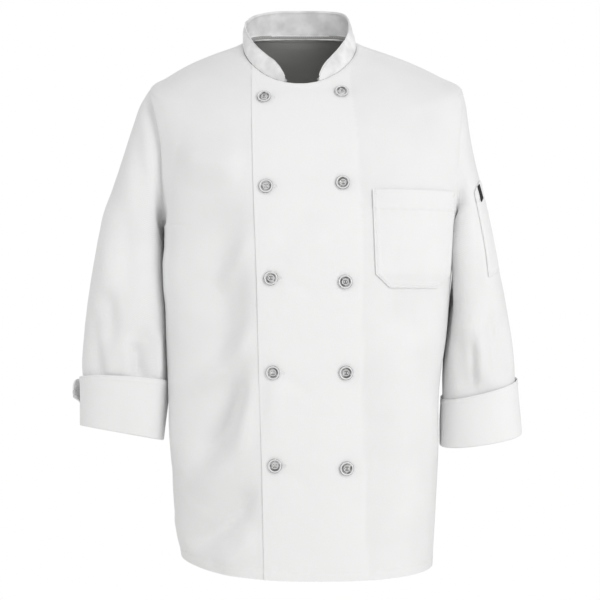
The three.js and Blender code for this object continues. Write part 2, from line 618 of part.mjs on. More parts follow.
// Outward normals of a sheet of points, from its neighbours.
function normalsOf({ rows, closed, flip }) {
  return rows.map((row, i) =>
    row.map((point, j) => {
      const count = row.length;
      const left = closed ? row[(j + count - 1) % count] : row[Math.max(0, j - 1)];
      const right = closed ? row[(j + 1) % count] : row[Math.min(count - 1, j + 1)];
      const below = rows[Math.max(0, i - 1)][j];
      const above = rows[Math.min(rows.length - 1, i + 1)][j];
      const across = new THREE.Vector3().subVectors(right, left);
      const up = new THREE.Vector3().subVectors(above, below);
      return across.cross(up).normalize().multiplyScalar(flip);
    }),
  );
}

const FOLDED_BACK = 0.2; // normals less alike than this (as a cosine) are two sides of a fold
const onEdge = ({ rows, closed }, i, j) =>
  i === 0 || i === rows.length - 1 || (!closed && (j === 0 || j === rows[i].length - 1));

// Where two or more panels share an edge point, they share its normal too, so their cut edges
// lie face to face. At the armpit the sleeve folds back on the body, and each keeps its own.
function joinSeams(panels) {
  const shared = new Map();
  const keyOf = (point) => [point.x, point.y, point.z].map((value) => Math.round(value * 50)).join(" ");
  for (const panel of panels) {
    panel.rows.forEach((row, i) =>
      row.forEach((point, j) => {
        if (!onEdge(panel, i, j)) return;
        const key = keyOf(point);
        if (!shared.has(key)) shared.set(key, []);
        shared.get(key).push({ panel, normal: panel.normals[i][j] });
      }),
    );
  }
  for (const group of shared.values()) {
    const means = group.map(({ normal }) => {
      const alike = group.filter((other) => other.normal.dot(normal) > FOLDED_BACK);
      return alike.reduce((total, other) => total.add(other.normal), new THREE.Vector3()).normalize();
    });
    group.forEach(({ normal }, n) => normal.copy(means[n]));
  }
}

// How far an edge point draws back from its seam: into the sheet, square to the seam and to the
// shared normal.
function drawBack(panel, i, j, gap) {
  const { rows, closed, normals } = panel;
  const [lastRow, lastColumn] = [rows.length - 1, rows[i].length - 1];
  const point = rows[i][j];
  const shift = new THREE.Vector3();
  const inward = (toward, a, b) => {
    const seam = new THREE.Vector3().subVectors(b, a).normalize();
    const into = new THREE.Vector3().subVectors(toward, point);
    into.addScaledVector(seam, -into.dot(seam));
    into.addScaledVector(normals[i][j], -into.dot(normals[i][j]));
    if (into.length() > 1e-6) shift.addScaledVector(into.normalize(), gap);
  };
  const ringNeighbour = (n) => rows[i][closed ? (n + lastColumn + 1) % (lastColumn + 1) : clamp(n, 0, lastColumn)];
  if (i === 0) inward(rows[1][j], ringNeighbour(j - 1), ringNeighbour(j + 1));
  if (i === lastRow) inward(rows[lastRow - 1][j], ringNeighbour(j - 1), ringNeighbour(j + 1));
  const [below, above] = [rows[Math.max(0, i - 1)][j], rows[Math.min(lastRow, i + 1)][j]];
  if (!closed && j === 0) inward(rows[i][1], below, above);
  if (!closed && j === lastColumn) inward(rows[i][lastColumn - 1], below, above);
  return shift;
}

// A sheet made a wall: its points outside, the same points moved in by the thickness inside,
// and closed along its edges.
function wall(panel, thickness, gap = SEAM_GAP / 2) {
  const { rows, normals, closed, flip } = panel;
  const [height, width] = [rows.length, rows[0].length];
  const outside = rows.map((row, i) =>
    row.map((point, j) => (onEdge(panel, i, j) ? point.clone().add(drawBack(panel, i, j, gap)) : point.clone())),
  );
  const inside = outside.map((row, i) =>
    row.map((point, j) => point.clone().addScaledVector(normals[i][j], -thickness)),
  );
  const positions = [...outside.flat(), ...inside.flat()].flatMap(({ x, y, z }) => [x, y, z]);
  const out = (i, j) => i * width + (j % width);
  const back = (i, j) => out(i, j) + height * width;
  const index = [];
  const quad = (a, b, c, d) => (flip > 0 ? index.push(a, b, c, a, c, d) : index.push(a, c, b, a, d, c));
  const columns = closed ? width : width - 1;
  for (let i = 0; i < height - 1; i += 1) {
    for (let j = 0; j < columns; j += 1) {
      quad(out(i, j), out(i, j + 1), out(i + 1, j + 1), out(i + 1, j));
      quad(back(i, j + 1), back(i, j), back(i + 1, j), back(i + 1, j + 1));
    }
  }
  for (let j = 0; j < columns; j += 1) {
    quad(out(0, j + 1), out(0, j), back(0, j), back(0, j + 1));
    quad(out(height - 1, j), out(height - 1, j + 1), back(height - 1, j + 1), back(height - 1, j));
  }
  for (let i = 0; i < height - 1 && !closed; i += 1) {
    quad(out(i, 0), out(i + 1, 0), back(i + 1, 0), back(i, 0));
    quad(out(i + 1, width - 1), out(i, width - 1), back(i, width - 1), back(i + 1, width - 1));
  }
  const geometry = new THREE.BufferGeometry();
  geometry.setAttribute("position", new THREE.Float32BufferAttribute(positions, 3));
  geometry.setIndex(index);
  geometry.computeVertexNormals();
  return geometry;
}

// Materials
const twill = new THREE.MeshStandardMaterial({ color: 0xf2f2f2, roughness: 0.85, metalness: 0 });
const pearl = new THREE.MeshStandardMaterial({ color: 0xb9bbbd, roughness: 0.25, metalness: 0 });
const tape = new THREE.MeshStandardMaterial({ color: 0x1a1a1c, roughness: 0.8, metalness: 0 });

const jacket = new THREE.Group();

function add(name, geometry, material) {
  const mesh = new THREE.Mesh(geometry, material);
  mesh.name = name;
  jacket.add(mesh);
  return mesh;
}

// A button: a lathe-turned disc with a rounded rim and a dished face, sitting on the cloth.
function button(name, { x, height }) {
  const [r, h] = [BUTTON_RADIUS, BUTTON_HEIGHT];
  const profile = [
    [0, 0],
    [r * 0.8, 0],
    [r, h * 0.35],
    [r, h * 0.7],
    [r * 0.86, h],
    [r * 0.7, h * 0.86],
    [r * 0.5, h - BUTTON_DISH],
    [0, h - BUTTON_DISH],
  ].map(([radius, level]) => new THREE.Vector2(radius, level));
  const mesh = add(name, new THREE.LatheGeometry(profile, BUTTON_SIDES), pearl);
  const { point, normal } = topFrontAt(x, height);
  mesh.position.copy(point).addScaledVector(normal, BUTTON_GAP);
  mesh.quaternion.setFromUnitVectors(new THREE.Vector3(0, 1, 0), normal);
}

const body = {
  front_left: bodyPanel("top"),
  front_right: bodyPanel("under"),
  back: bodyPanel("back"),
  sleeve_right: sleevePanel(RIGHT_SLEEVE),
  sleeve_left: sleevePanel(LEFT_SLEEVE),
};
joinSeams(Object.values(body));
for (const [name, panel] of Object.entries(body)) add(name, wall(panel, CLOTH), twill);

add("collar", wall(collarPanel(), COLLAR_CLOTH), twill);
add("cuff_right", wall(cuffPanel(RIGHT_SLEEVE, RIGHT_CUFF_TOP, RIGHT_SLIT_TURN, SLIT_FLARE), CLOTH), twill);
add("cuff_left", wall(cuffPanel(LEFT_SLEEVE, LEFT_CUFF_TOP, LEFT_SLIT_TURN, 0), CLOTH), twill);
add("chest_pocket", wall(chestPocket(), POCKET_CLOTH), twill);
const penPocket = onSleeve(PEN_POCKET, PEN_POCKET_COLUMNS, PEN_POCKET_ROWS, PATCH_GAP + POCKET_CLOTH);
add("sleeve_pocket", wall(penPocket, POCKET_CLOTH), twill);
add("pocket_tab", wall(onSleeve(TAB, 1, 2, TAB_LIFT + TAB_CLOTH), TAB_CLOTH), tape);

for (const { row, right, left } of BUTTONS) {
  button(`button_right_${row}`, right);
  button(`button_left_${row}`, left);
}

export default jacket;
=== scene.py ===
# A white double-breasted chef jacket, dressed over its CAD frame: fine cloth panels with folds and
# hems, seam stitching, buttonholes, and dished buttons sewn on with thread.
# Lengths are in millimetres until a mesh is made, and +Z is up, as in the frame.

import math
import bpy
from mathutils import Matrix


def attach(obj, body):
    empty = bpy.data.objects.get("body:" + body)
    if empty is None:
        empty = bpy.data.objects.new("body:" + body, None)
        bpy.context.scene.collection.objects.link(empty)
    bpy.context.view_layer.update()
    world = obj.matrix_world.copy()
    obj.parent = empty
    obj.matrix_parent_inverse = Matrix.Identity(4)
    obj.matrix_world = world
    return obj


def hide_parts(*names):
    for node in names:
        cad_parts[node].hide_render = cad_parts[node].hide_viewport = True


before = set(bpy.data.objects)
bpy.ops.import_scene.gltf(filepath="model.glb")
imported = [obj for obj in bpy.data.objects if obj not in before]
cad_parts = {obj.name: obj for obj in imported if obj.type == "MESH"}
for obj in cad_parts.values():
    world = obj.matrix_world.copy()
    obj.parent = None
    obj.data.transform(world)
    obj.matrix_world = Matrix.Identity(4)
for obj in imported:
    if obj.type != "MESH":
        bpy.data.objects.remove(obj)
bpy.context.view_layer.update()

from types import SimpleNamespace

import bpy
import numpy as np
from mathutils import Matrix, Vector
from mathutils.bvhtree import BVHTree

BODY = "root"
MM = 0.001

# Cloth
CLOTH = 1.2
COLLAR_CLOTH = 2.2
POCKET_CLOTH = 1.2
TAB_CLOTH = 1.0
PATCH_GAP = 0.3  # between a panel and a patch that is sewn on it

# The body's sections, from the hem up to the neckline. Each is a ring: the heights of its side,
# front and back points, the middle and half of its width, the side point's depth, how far it
# reaches ahead and behind, how square its corners are, and the tilt from side to side.
SECTION_COLUMNS = ("side", "front", "back", "middle", "half", "depth", "ahead", "behind",
                   "square_ahead", "square_behind", "tilt")
SECTIONS = np.array([
    (-741, -756, -752, 1, 181, 0, 129, 120, 2.45, 2.4, -7),
    (-660, -668, -664, 0, 187, 0, 132, 121, 2.45, 2.4, -5),
    (-575, -580, -578, 1, 190, 0, 134, 120, 2.5, 2.4, -3),
    (-495, -497, -496, 1, 190.8, 0, 135, 117, 2.5, 2.4, -1.5),
    (-420, -421, -420, 4.5, 197.5, 0, 136, 114, 2.6, 2.4, 0),
    (-350, -350, -350, 7, 201, 0, 136, 115, 2.7, 2.4, 0),
    (-300, -300, -300, 7.5, 204.5, 0, 135, 118, 2.8, 2.4, 0),
    (-262, -262, -258, 7, 207.5, 0, 133, 121, 2.8, 2.45, 0),
    (-222, -228, -218, 7, 214, 1, 130.5, 122, 2.75, 2.45, 0),
    (-182, -196, -178, 6.5, 222, 3, 127, 119, 2.65, 2.4, 0),
    (-140, -165, -134, 6, 229, 5, 121.5, 115.5, 2.5, 2.35, 0),
    (-99, -141, -92, 4, 232, 7, 115, 109, 2.4, 2.3, 0),
    (-62, -121, -60, 0, 226, 8, 107.5, 100.5, 2.3, 2.3, 0),
    (-47, -105, -33, -3, 200, 8, 99.5, 91.5, 2.55, 2.5, 0),
    (-32, -91, -13, -5.5, 169.5, 8, 92.5, 82, 2.5, 2.45, 0),
    (-18.5, -79.5, 1, -7, 135, 8, 86, 73.5, 2.4, 2.35, 0),
    (-9, -70.5, 11.5, -8, 106, 8, 80.5, 67, 2.2, 2.2, 0),
    (0, -62, 20, -9, 82, 8, 76, 62, 2.1, 2.1, 0),
])
HEM = 0  # places on the list of sections
ARMPIT = 7
SHOULDER_POINT = 12
NECKLINE = 17

ARMHOLE_AHEAD = 62  # the armhole's reach ahead of and behind the side line
ARMHOLE_BEHIND = 66
ARMHOLE_ROUND = 0.8

# Rows and columns of the panels
SKIRT_ROWS = 100
ARMHOLE_ROWS = 64
YOKE_ROWS = 40
FRONT_COLUMNS = 100
BACK_COLUMNS = 130
SLEEVE_ROWS = 120
COLLAR_COLUMNS = 180
COLLAR_ROWS = 26
LINE_STEPS = 500  # steps of the dense line that a row is spaced along

# Front edges as height and x: the wearer's left front lies on top and passes the middle line.
TOP_EDGE = np.array([
    (-760, -58), (-600, -61), (-475, -65), (-345, -68), (-215, -73), (-85, -77), (0, -79),
])
UNDER_EDGE = np.array([(-760, 82), (-475, 81), (-345, 78), (-215, 74), (-85, 62), (0, 56)])
FACING_EDGE = np.array([(-760, 85), (-453, 79.5), (-195, 77), (-60, 64)])  # of the layer behind
TOP_LIFT = 0.6
UNDER_SINK = 0.7
LIFT_FADE = 34
SEAM_HOLD = 40  # folds grow over this distance from a seam

# Sleeves, from the armhole down: outer x and z, inner x and z, reach ahead and behind, and tip.
RIGHT_SLEEVE = np.array([
    (-226, -62, -200.5, -262, -58, 70, 0),
    (-240, -83, -202.5, -266, -58, 76, 0),
    (-252.5, -117, -204, -272, -60, 82, 0),
    (-264.5, -157, -204, -281, -63, 86, 0),
    (-277, -198, -203, -294, -66, 88, 0),
    (-290, -241, -201.5, -312, -68, 87, 0),
    (-301, -284, -200, -336, -70, 84, 1),
    (-309.5, -330, -198.5, -365, -72, 79, 3),
    (-316, -376, -197.5, -398, -73, 71, 5),
    (-320.5, -420, -197, -432, -73, 61, 6),
    (-323, -457, -197.5, -466, -71, 51, 6),
    (-321.5, -490, -200, -502, -67, 42, 6),
    (-321, -519, -204, -535, -64, 36, 6),
    (-322.5, -547, -208, -568, -62, 32, 3.8),
])
LEFT_SLEEVE = np.array([
    (225, -62, 214.5, -262, -58, 70, 0),
    (231, -82, 217, -266, -58, 77, 0),
    (236.5, -117, 219, -272, -58, 84, 0),
    (243.5, -153, 219.5, -281, -60, 90, 0),
    (252, -192, 218.5, -294, -62, 94, 0),
    (262, -238, 216, -312, -64, 95, 0),
    (272, -284, 213.5, -336, -65, 92, 0),
    (281, -330, 209.5, -366, -65, 86, -1),
    (290, -376, 205, -400, -63, 77, -3),
    (296.5, -420, 200.5, -437, -59, 68, -4),
    (301, -458, 198, -476, -54, 60, -4),
    (303, -492, 198, -512, -50, 54, -4),
    (306, -525, 197, -543, -48, 52, -5),
    (310, -559, 197, -577, -48, 52, -5),
])
OUTER_X, OUTER_Z, INNER_X, INNER_Z, AHEAD, BEHIND, TIP = range(7)
SLEEVE_ROUND = 0.92
HEAD_FADE = 4  # rings over which the armhole's own shape fades into the ovals
PER_TURN = 12  # rings that count as far as one turn round a sleeve

# Cuffs: top edges as rings like the sleeve's
RIGHT_CUFF_TOP = np.array([-326, -480, -196, -486, -76, 50, 8])
LEFT_CUFF_TOP = np.array([307, -482, 194.6, -510, -56, 62, -5])
CUFF_ROWS = 30
ROLL_ROWS = 8
FOLD_OUT = 1.9
FOLD_ROLL = 1.8
CUFF_SLIT = 1.2
CUFF_ROUND = 380  # a cuff's length round, for the slit
RIGHT_SLIT_TURN = 0.994
LEFT_SLIT_TURN = 0.86
SLIT_FLARE = 11  # the rear end of the right cuff curls out
SLIT_CORNER = 17  # radius of its rounded corner, and of the corner in front of it
SLIT_FRONT_CORNER = 8
FLARE_SHARE = 0.11
END_ROLL = 1.6  # the flared end is folded over, and so much thicker

# Collar: its top edge, from the wearer's right front end round the back to the left
COLLAR_RIGHT_END = -28
COLLAR_LEFT_END = 17
COLLAR_TOP = np.array([
    (-35, -61, -37), (-42, -59, -31), (-55, -52, -20), (-71, -39, -4.5), (-82, -22, 11),
    (-88, 2, 28), (-85, 26, 42), (-72, 47, 53), (-45, 63, 60.5), (-12, 69, 62), (20, 65, 61.5),
    (46, 51, 57.5), (58.5, 29, 48.5), (62.5, 5, 34), (59, -18, 13), (49.5, -38, -4),
    (37, -51, -19.5), (26.5, -59, -32), (20, -62, -43),
])
COLLAR_SWELL = 2
COLLAR_RIGHT_CORNER = 15  # radii of the rounded front corners
COLLAR_LEFT_CORNER = 7
COLLAR_CREASE = 0.35  # depth of the crease where it meets the body

NECK_TAPE = 4.6  # height of the tape that covers the collar's seam inside
TAPE_THICKNESS = 0.8
TAPE_HANG = 0.35  # slope of its lower rim, which covers the gap above the body

# Pockets
POCKET_TOP = SimpleNamespace(height=-215.5, inner=91, outer=209)
POCKET_BOTTOM = SimpleNamespace(height=-351, inner=96, outer=201)
POCKET_CORNER = 19
POCKET_LIFT = 0.9
POCKET_HEM = 27.5
POCKET_COLUMNS = 90
POCKET_ROWS = 100
PEN_POCKET = SimpleNamespace(from_ring=3.86, to_ring=6.84, from_turn=0.075, to_turn=0.195, slant=0.24)
PEN_POCKET_HEM = 18
TAB = SimpleNamespace(from_ring=3.87, to_ring=4.42, from_turn=0.126, to_turn=0.154, slant=0.08)

# Buttons, in two columns of five: x and height
BUTTON_RADIUS = 10
BUTTON_HEIGHT = 3.8
BUTTON_GAP = 0.3
RIGHT_BUTTONS = [(-59, -83), (-55.5, -211), (-48.5, -338), (-45.5, -468), (-43, -596)]
LEFT_BUTTONS = [(50, -75), (50.5, -206), (53.5, -343), (54.5, -468), (55.5, -600)]
BUTTON_DIMPLE = 0.9  # the cloth is drawn in this far under a button
BUTTONHOLE_FROM = -10  # from the button's middle, towards the wearer's left
BUTTONHOLE_TO = 14.5
BUTTONHOLE_HALF = 1.5

# Folds as curved lines seen from the front or back: start, bend and end as x and z, then the
# half width and the height off the cloth. Ridges are +, troughs are -.
FRONT_FOLDS = [
    (-182, -162, -134, -176, -84, -190, 26, 10),
    (-60, -268, -97, -316, -130, -356, 15, 8),
    (-192, -292, -186, -332, -182, -372, 14, 4),
    (-60, -396, -104, -448, -156, -490, 17, 12),
    (-88, -478, -121, -535, -171, -610, 16, -14),
    (-52, -466, -94, -566, -152, -650, 25, 18),
    (-122, -226, -120, -440, -116, -694, 36, -20),
    (-190, -226, -186, -440, -182, -700, 20, 11),
    (-58, -622, -112, -678, -166, -718, 14, -12),
    (-60, -688, -92, -718, -126, -742, 17, 8),
    (-182, -668, -176, -700, -172, -732, 12, 4),
    (-26, -320, 2, -298, 32, -276, 14, 2.6),
    (-44, -286, -18, -268, 10, -248, 12, -1.8),
    (-30, -345, -8, -352, 14, -362, 9, -1.2),
    (-30, -476, -12, -486, 6, -498, 8, -1),
    (-28, -604, -12, -614, 8, -626, 8, -1),
    (60, -215, 76, -150, 90, -100, 22, 1.4),
    (120, -420, 127, -570, 128, -720, 34, 3),
    (160, -420, 158, -540, 156, -700, 18, -2.4),
    (184, -380, 176, -470, 172, -560, 14, 1.6),
]
BACK_FOLDS = [
    (-128, -190, -124, -460, -112, -740, 30, 7),
    (-70, -330, -60, -540, -62, -740, 26, -7),
    (2, -420, -2, -580, 6, -745, 28, 5),
    (74, -310, 64, -520, 66, -745, 26, -6),
    (134, -200, 130, -460, 120, -740, 30, 7),
    (-150, -210, -104, -262, -40, -330, 22, -4),
    (156, -215, 112, -272, 50, -350, 22, -4),
    (-166, -300, -130, -368, -84, -420, 12, -2),
    (168, -330, 128, -398, 88, -440, 12, -2),
    (-150, -96, -90, -112, -20, -108, 16, 1.4),
    (148, -104, 90, -118, 24, -112, 16, 1.4),
    (-36, -560, -30, -650, -26, -748, 11, 1.8),
    (34, -600, 38, -670, 36, -748, 11, 1.6),
]
RIGHT_SLEEVE_FRONT_FOLDS = [
    (-284, -350, -278, -396, -274, -444, 14, -9),
    (-258, -430, -255, -456, -252, -486, 8, 2.5),
    (-240, -424, -236, -455, -232, -486, 10, -9),
    (-211, -410, -210, -446, -209, -488, 6, 5),
    (-243, -100, -240, -160, -228, -222, 12, -4),
    (-292, -210, -284, -290, -290, -380, 16, 4),
    (-258, -240, -252, -310, -256, -366, 12, -4),
    (-300, -424, -296, -452, -290, -482, 8, -3.5),
]
LEFT_SLEEVE_FRONT_FOLDS = [
    (262, -376, 266, -430, 272, -486, 9, -5),
    (246, -410, 246, -450, 248, -492, 7, 3.5),
    (236, -420, 237, -456, 239, -496, 6, -4.5),
    (284, -390, 288, -440, 290, -486, 10, 3.5),
    (238, -150, 236, -210, 240, -290, 12, -4),
    (225, -222, 222, -310, 222, -388, 14, 9),
    (232, -372, 228, -430, 222, -488, 19, 9),
    (226, -232, 223, -270, 221, -330, 10, 7),
]
SLEEVE_BACK_FOLDS = [
    (232, -170, 246, -260, 256, -340, 16, -3),
    (262, -250, 274, -350, 282, -440, 15, 2.6),
    (226, -330, 246, -372, 274, -400, 11, -3),
    (224, -380, 244, -420, 280, -446, 10, 2.4),
    (226, -430, 246, -452, 286, -470, 9, -2.6),
]
# Folds of the sleeves as part of their shape: ring and turn of both ends, half width in turns, rise
SLEEVE_FOLDS = [
    (8.2, 0.12, 10.6, 0.15, 0.045, -5),
    (8.9, 0.24, 10.6, 0.22, 0.035, 4),
    (8.6, 0.34, 10.6, 0.31, 0.04, -6),
    (6.5, 0.66, 10.4, 0.70, 0.05, -6),
    (5.0, 0.82, 9.0, 0.76, 0.05, 5),
]
RIGHT_HOLLOW = 12  # depths of the hollows beside the armholes
LEFT_HOLLOW = 1.5

# Stitching
STITCH_PITCH = 3.0
STITCH_LENGTH = 2.2
THREAD_WIDTH = 0.55
HEM_DEPTH = 12
EDGE_STITCH = 2.2
NECK_STITCH = 3.5
TACK_REACH = 7  # of the bars at the chest pocket's corners


def mix(a, b, share):
    return a + (b - a) * share


def smooth(value):
    t = np.clip(value, 0, 1)
    return t * t * (3 - 2 * t)


def unit(vectors):
    return vectors / np.maximum(np.linalg.norm(vectors, axis=-1, keepdims=True), 1e-9)


def along(table, place):
    """Rows of a table at places between its rows, on a Catmull-Rom curve."""
    last = len(table) - 1
    place = np.asarray(place, float)
    i = np.clip(np.floor(place).astype(int), 0, last - 1)
    t = (place - i)[..., None]
    a, b, c, d = (table[np.clip(i + n, 0, last)] for n in (-1, 0, 1, 2))
    return b + 0.5 * t * (c - a + t * (2 * a - 5 * b + 4 * c - d + t * (3 * (b - c) + d - a)))


def edge_x(edge, height):
    """The x of a front edge at heights."""
    return np.interp(height, edge[:, 0], edge[:, 1])


def uneven(points, wavelength, seed, waves=10):
    """A soft irregular height between about -1 and 1 at points in space."""
    random = np.random.default_rng(seed)
    directions = unit(random.normal(size=(waves, 3)))
    lengths = wavelength * random.uniform(0.7, 1.5, waves)
    phases = random.uniform(0, 2 * np.pi, waves)
    return np.sin(points @ (directions / lengths[:, None]).T * 2 * np.pi + phases).mean(axis=-1) * 2


def fold_heights(folds, x, z, steps=14):
    """Heights of curved ridges and troughs, fading out at both ends."""
    height = np.zeros(np.shape(x))
    t = np.linspace(0, 1, steps + 1)[:, None]
    for x0, z0, bend_x, bend_z, x1, z1, width, rise in folds:
        start, bend, end = (np.array(p, float) for p in ((x0, z0), (bend_x, bend_z), (x1, z1)))
        bend = 2 * bend - (start + end) / 2
        line = (1 - t) ** 2 * start + 2 * t * (1 - t) * bend + t**2 * end
        nearest = np.full(np.shape(x), np.inf)
        share = np.zeros(np.shape(x))
        for n in range(steps):
            dx, dz = line[n + 1] - line[n]
            along_step = np.clip(((x - line[n, 0]) * dx + (z - line[n, 1]) * dz) / (dx * dx + dz * dz), 0, 1)
            gap = np.hypot(x - line[n, 0] - along_step * dx, z - line[n, 1] - along_step * dz)
            closer = gap < nearest
            nearest = np.where(closer, gap, nearest)
            share = np.where(closer, (n + along_step) / steps, share)
        ends = smooth((share + 0.12) / 0.45) * smooth((1.12 - share) / 0.45)
        height += rise * ends * np.exp(-((nearest / width) ** 2))
    return height


# Panels: grids of points with their outward normals


def grid_normals(points, closed, flip):
    """Outward normals of a grid of points, from its neighbours."""
    if closed:
        across = np.roll(points, -1, axis=1) - np.roll(points, 1, axis=1)
    else:
        across = np.gradient(points, axis=1)
    return unit(np.cross(across, np.gradient(points, axis=0))) * flip


def make_panel(points, closed, inner):
    """A grid of points whose outside faces away from an inner point."""
    i, j = points.shape[0] // 2, points.shape[1] // 2
    away = points[i, j] - np.asarray(inner, float)
    flip = 1 if grid_normals(points, closed, 1)[i, j] @ away > 0 else -1
    panel = SimpleNamespace(points=points, closed=closed, flip=flip)
    return measured(panel)


def measured(panel):
    """Gives a panel its normals, and the lengths along the cloth across and up."""
    points = panel.points
    panel.normals = grid_normals(points, panel.closed, panel.flip)
    ring = np.concatenate([points, points[:, :1]], axis=1) if panel.closed else points
    steps = np.linalg.norm(np.diff(ring, axis=1), axis=-1)
    panel.across = np.concatenate([np.zeros((len(points), 1)), np.cumsum(steps, axis=1)], axis=1)
    rises = np.linalg.norm(np.diff(points, axis=0), axis=-1)
    panel.up = np.concatenate([np.zeros((1, points.shape[1])), np.cumsum(rises, axis=0)], axis=0)
    return panel


def moved_out(panel, heights):
    """The panel with its points moved along their normals."""
    panel.points = panel.points + panel.normals * heights[..., None]
    return measured(panel)


def grain_from(panel, column):
    """Places on the cloth measured from one straight column, along which the grain runs."""
    width = panel.points.shape[1]
    up = np.broadcast_to(panel.up[:, column][:, None], panel.up.shape)
    return panel.across[:, :width] - panel.across[:, column][:, None], up


def beside_seam(distance):
    """Height of the cloth beside a seam: drawn down at the seam, full just next to it."""
    return 0.6 * smooth(distance / 2.5) * (1 - smooth((distance - 4) / 14))


def stitched(distance, length, at, depth=0.55, pucker=0.22, wave=15):
    """A row of stitching pressed into the cloth, with small puckers beside it."""
    groove = -depth * np.exp(-(((distance - at) / 1.1) ** 2))
    ripple = np.sin(2 * np.pi * length / wave + 1.7 * np.sin(length / 31))
    return groove + pucker * ripple * np.exp(-(((distance - at) / 5) ** 2))


def hemmed(distance, length, depth=HEM_DEPTH):
    """A hem turned up inside: the band stands proud up to its row of stitching."""
    band = 0.45 * (1 - smooth((distance - depth + 0.8) / 1.6))
    return band + stitched(distance, length, depth)


# Body


def sections_at(place):
    """The body's sections at places on the list."""
    section = SimpleNamespace(**dict(zip(SECTION_COLUMNS, np.moveaxis(along(SECTIONS, place), -1, 0))))
    down = section.front - section.side
    up = section.back - section.side
    section.bow = (down / section.ahead + up / section.behind) / (section.ahead + section.behind)
    section.slope = up / section.behind - section.bow * section.behind
    return section


def ring_points(section, angle):
    """Points of the body's rings: 0 is the wearer's left, a quarter turn is the front."""
    c, s = np.cos(angle), np.sin(angle)
    ahead = s >= 0
    power = 2 / np.where(ahead, section.square_ahead, section.square_behind)
    reach = np.abs(s) ** power * np.where(ahead, -section.ahead, section.behind)
    x = section.middle + np.sign(c) * section.half * np.abs(c) ** power
    share = (x - section.middle) / section.half
    z = section.side + section.tilt * share * np.abs(share) + section.slope * reach + section.bow * reach**2
    return np.stack(np.broadcast_arrays(x, section.depth + reach, z), axis=-1)


def angle_at_x(section, x):
    share = np.clip((x - section.middle) / section.half, -1, 1)
    return np.arccos(np.sign(share) * np.abs(share) ** (section.square_ahead / 2))


def armhole_at(turn, wearers_left):
    """The armhole as a loop: place on the sections and angle on the ring for shares of a turn."""
    around = 2 * np.pi * np.asarray(turn, float)
    place = mix(ARMPIT, SHOULDER_POINT, (1 + np.cos(around)) / 2)
    section = sections_at(place)
    lean = np.sin(around)
    lean = np.where(np.abs(lean) < 1e-9, 0, lean)
    reach = np.abs(lean) ** ARMHOLE_ROUND
    ahead = lean >= 0
    share = np.where(ahead, reach * ARMHOLE_AHEAD / section.ahead, reach * ARMHOLE_BEHIND / section.behind)
    square = np.where(ahead, section.square_ahead, section.square_behind)
    bend = np.arcsin(share ** (square / 2))
    angle = bend if wearers_left else np.pi - bend
    return place, np.where(ahead, angle, 2 * np.pi - angle)


def armhole_turns():
    """Turns from the armpit up to the shoulder point, even both along the armhole and in height."""
    share = np.arange(ARMHOLE_ROWS + 1) / ARMHOLE_ROWS
    return mix(0.5 * (1 - share), np.arccos(2 * share - 1) / (2 * np.pi), 0.5)


def body_rows():
    """Places of the rows, and each row's armhole turn where it has one. Rows crowd at the hem."""
    skirt = ARMPIT * (np.arange(SKIRT_ROWS) / SKIRT_ROWS) ** 1.3
    turns = armhole_turns()
    yoke = mix(SHOULDER_POINT, NECKLINE, np.arange(1, YOKE_ROWS + 1) / YOKE_ROWS)
    places = np.concatenate([skirt, armhole_at(turns, True)[0], yoke])
    turn = np.full(len(places), np.nan)
    turn[SKIRT_ROWS:SKIRT_ROWS + ARMHOLE_ROWS + 1] = turns
    return places, turn


def crowded(count, amount=0.7):
    """Shares from 0 to 1 that lie closer together at both ends."""
    t = np.linspace(0, 1, count + 1)
    return t - amount * np.sin(2 * np.pi * t) / (2 * np.pi)


def spaced(line, shares):
    """Points at shares of a dense line's length."""
    lengths = np.concatenate([[0], np.cumsum(np.linalg.norm(np.diff(line, axis=0), axis=1))])
    return np.stack([np.interp(shares * lengths[-1], lengths, line[:, n]) for n in range(3)], axis=1)


def spaced_angles(section, start, end, shares):
    """Angles whose points lie at shares of the length of a ring's stretch."""
    angles = np.linspace(start, end, LINE_STEPS)
    steps = np.linalg.norm(np.diff(ring_points(section, angles), axis=0), axis=1)
    lengths = np.concatenate([[0], np.cumsum(steps)])
    return np.interp(shares * lengths[-1], lengths, angles)


def edge_weight(height):
    """How thick the overlap stands at heights: it is pressed flat towards the collar."""
    return mix(0.35, 1, smooth((-84 - height) / 50))


def body_shift(points, side):
    """Outward shifts from the sections: the overlap, the folds and the pull of the buttons."""
    x, z = points[..., 0], points[..., 2]
    shift = fold_heights(BACK_FOLDS if side == "back" else FRONT_FOLDS, x, z)
    shift += 0.5 * uneven(points, 110, seed=4) + 0.16 * uneven(points, 34, seed=9)
    if side == "back":
        return shift
    edge = edge_x(TOP_EDGE, z)
    on_top = smooth((x - edge) / LIFT_FADE)
    if side == "top":
        shift *= on_top
        shift += TOP_LIFT * edge_weight(z) * smooth((edge_x(UNDER_EDGE, z) + LIFT_FADE - x) / LIFT_FADE)
        shift += 0.3 * smooth((edge_x(FACING_EDGE, z) - x) / 1.6)
    else:
        shift *= smooth((edge + 4 - x) / LIFT_FADE) + on_top
        shift -= UNDER_SINK * edge_weight(z) * smooth((x - edge + LIFT_FADE) / LIFT_FADE)
    for button_x, button_z in RIGHT_BUTTONS + LEFT_BUTTONS:
        away = np.hypot(x - button_x, z - button_z)
        shift -= BUTTON_DIMPLE * np.exp(-((away / 13) ** 2))
    return shift


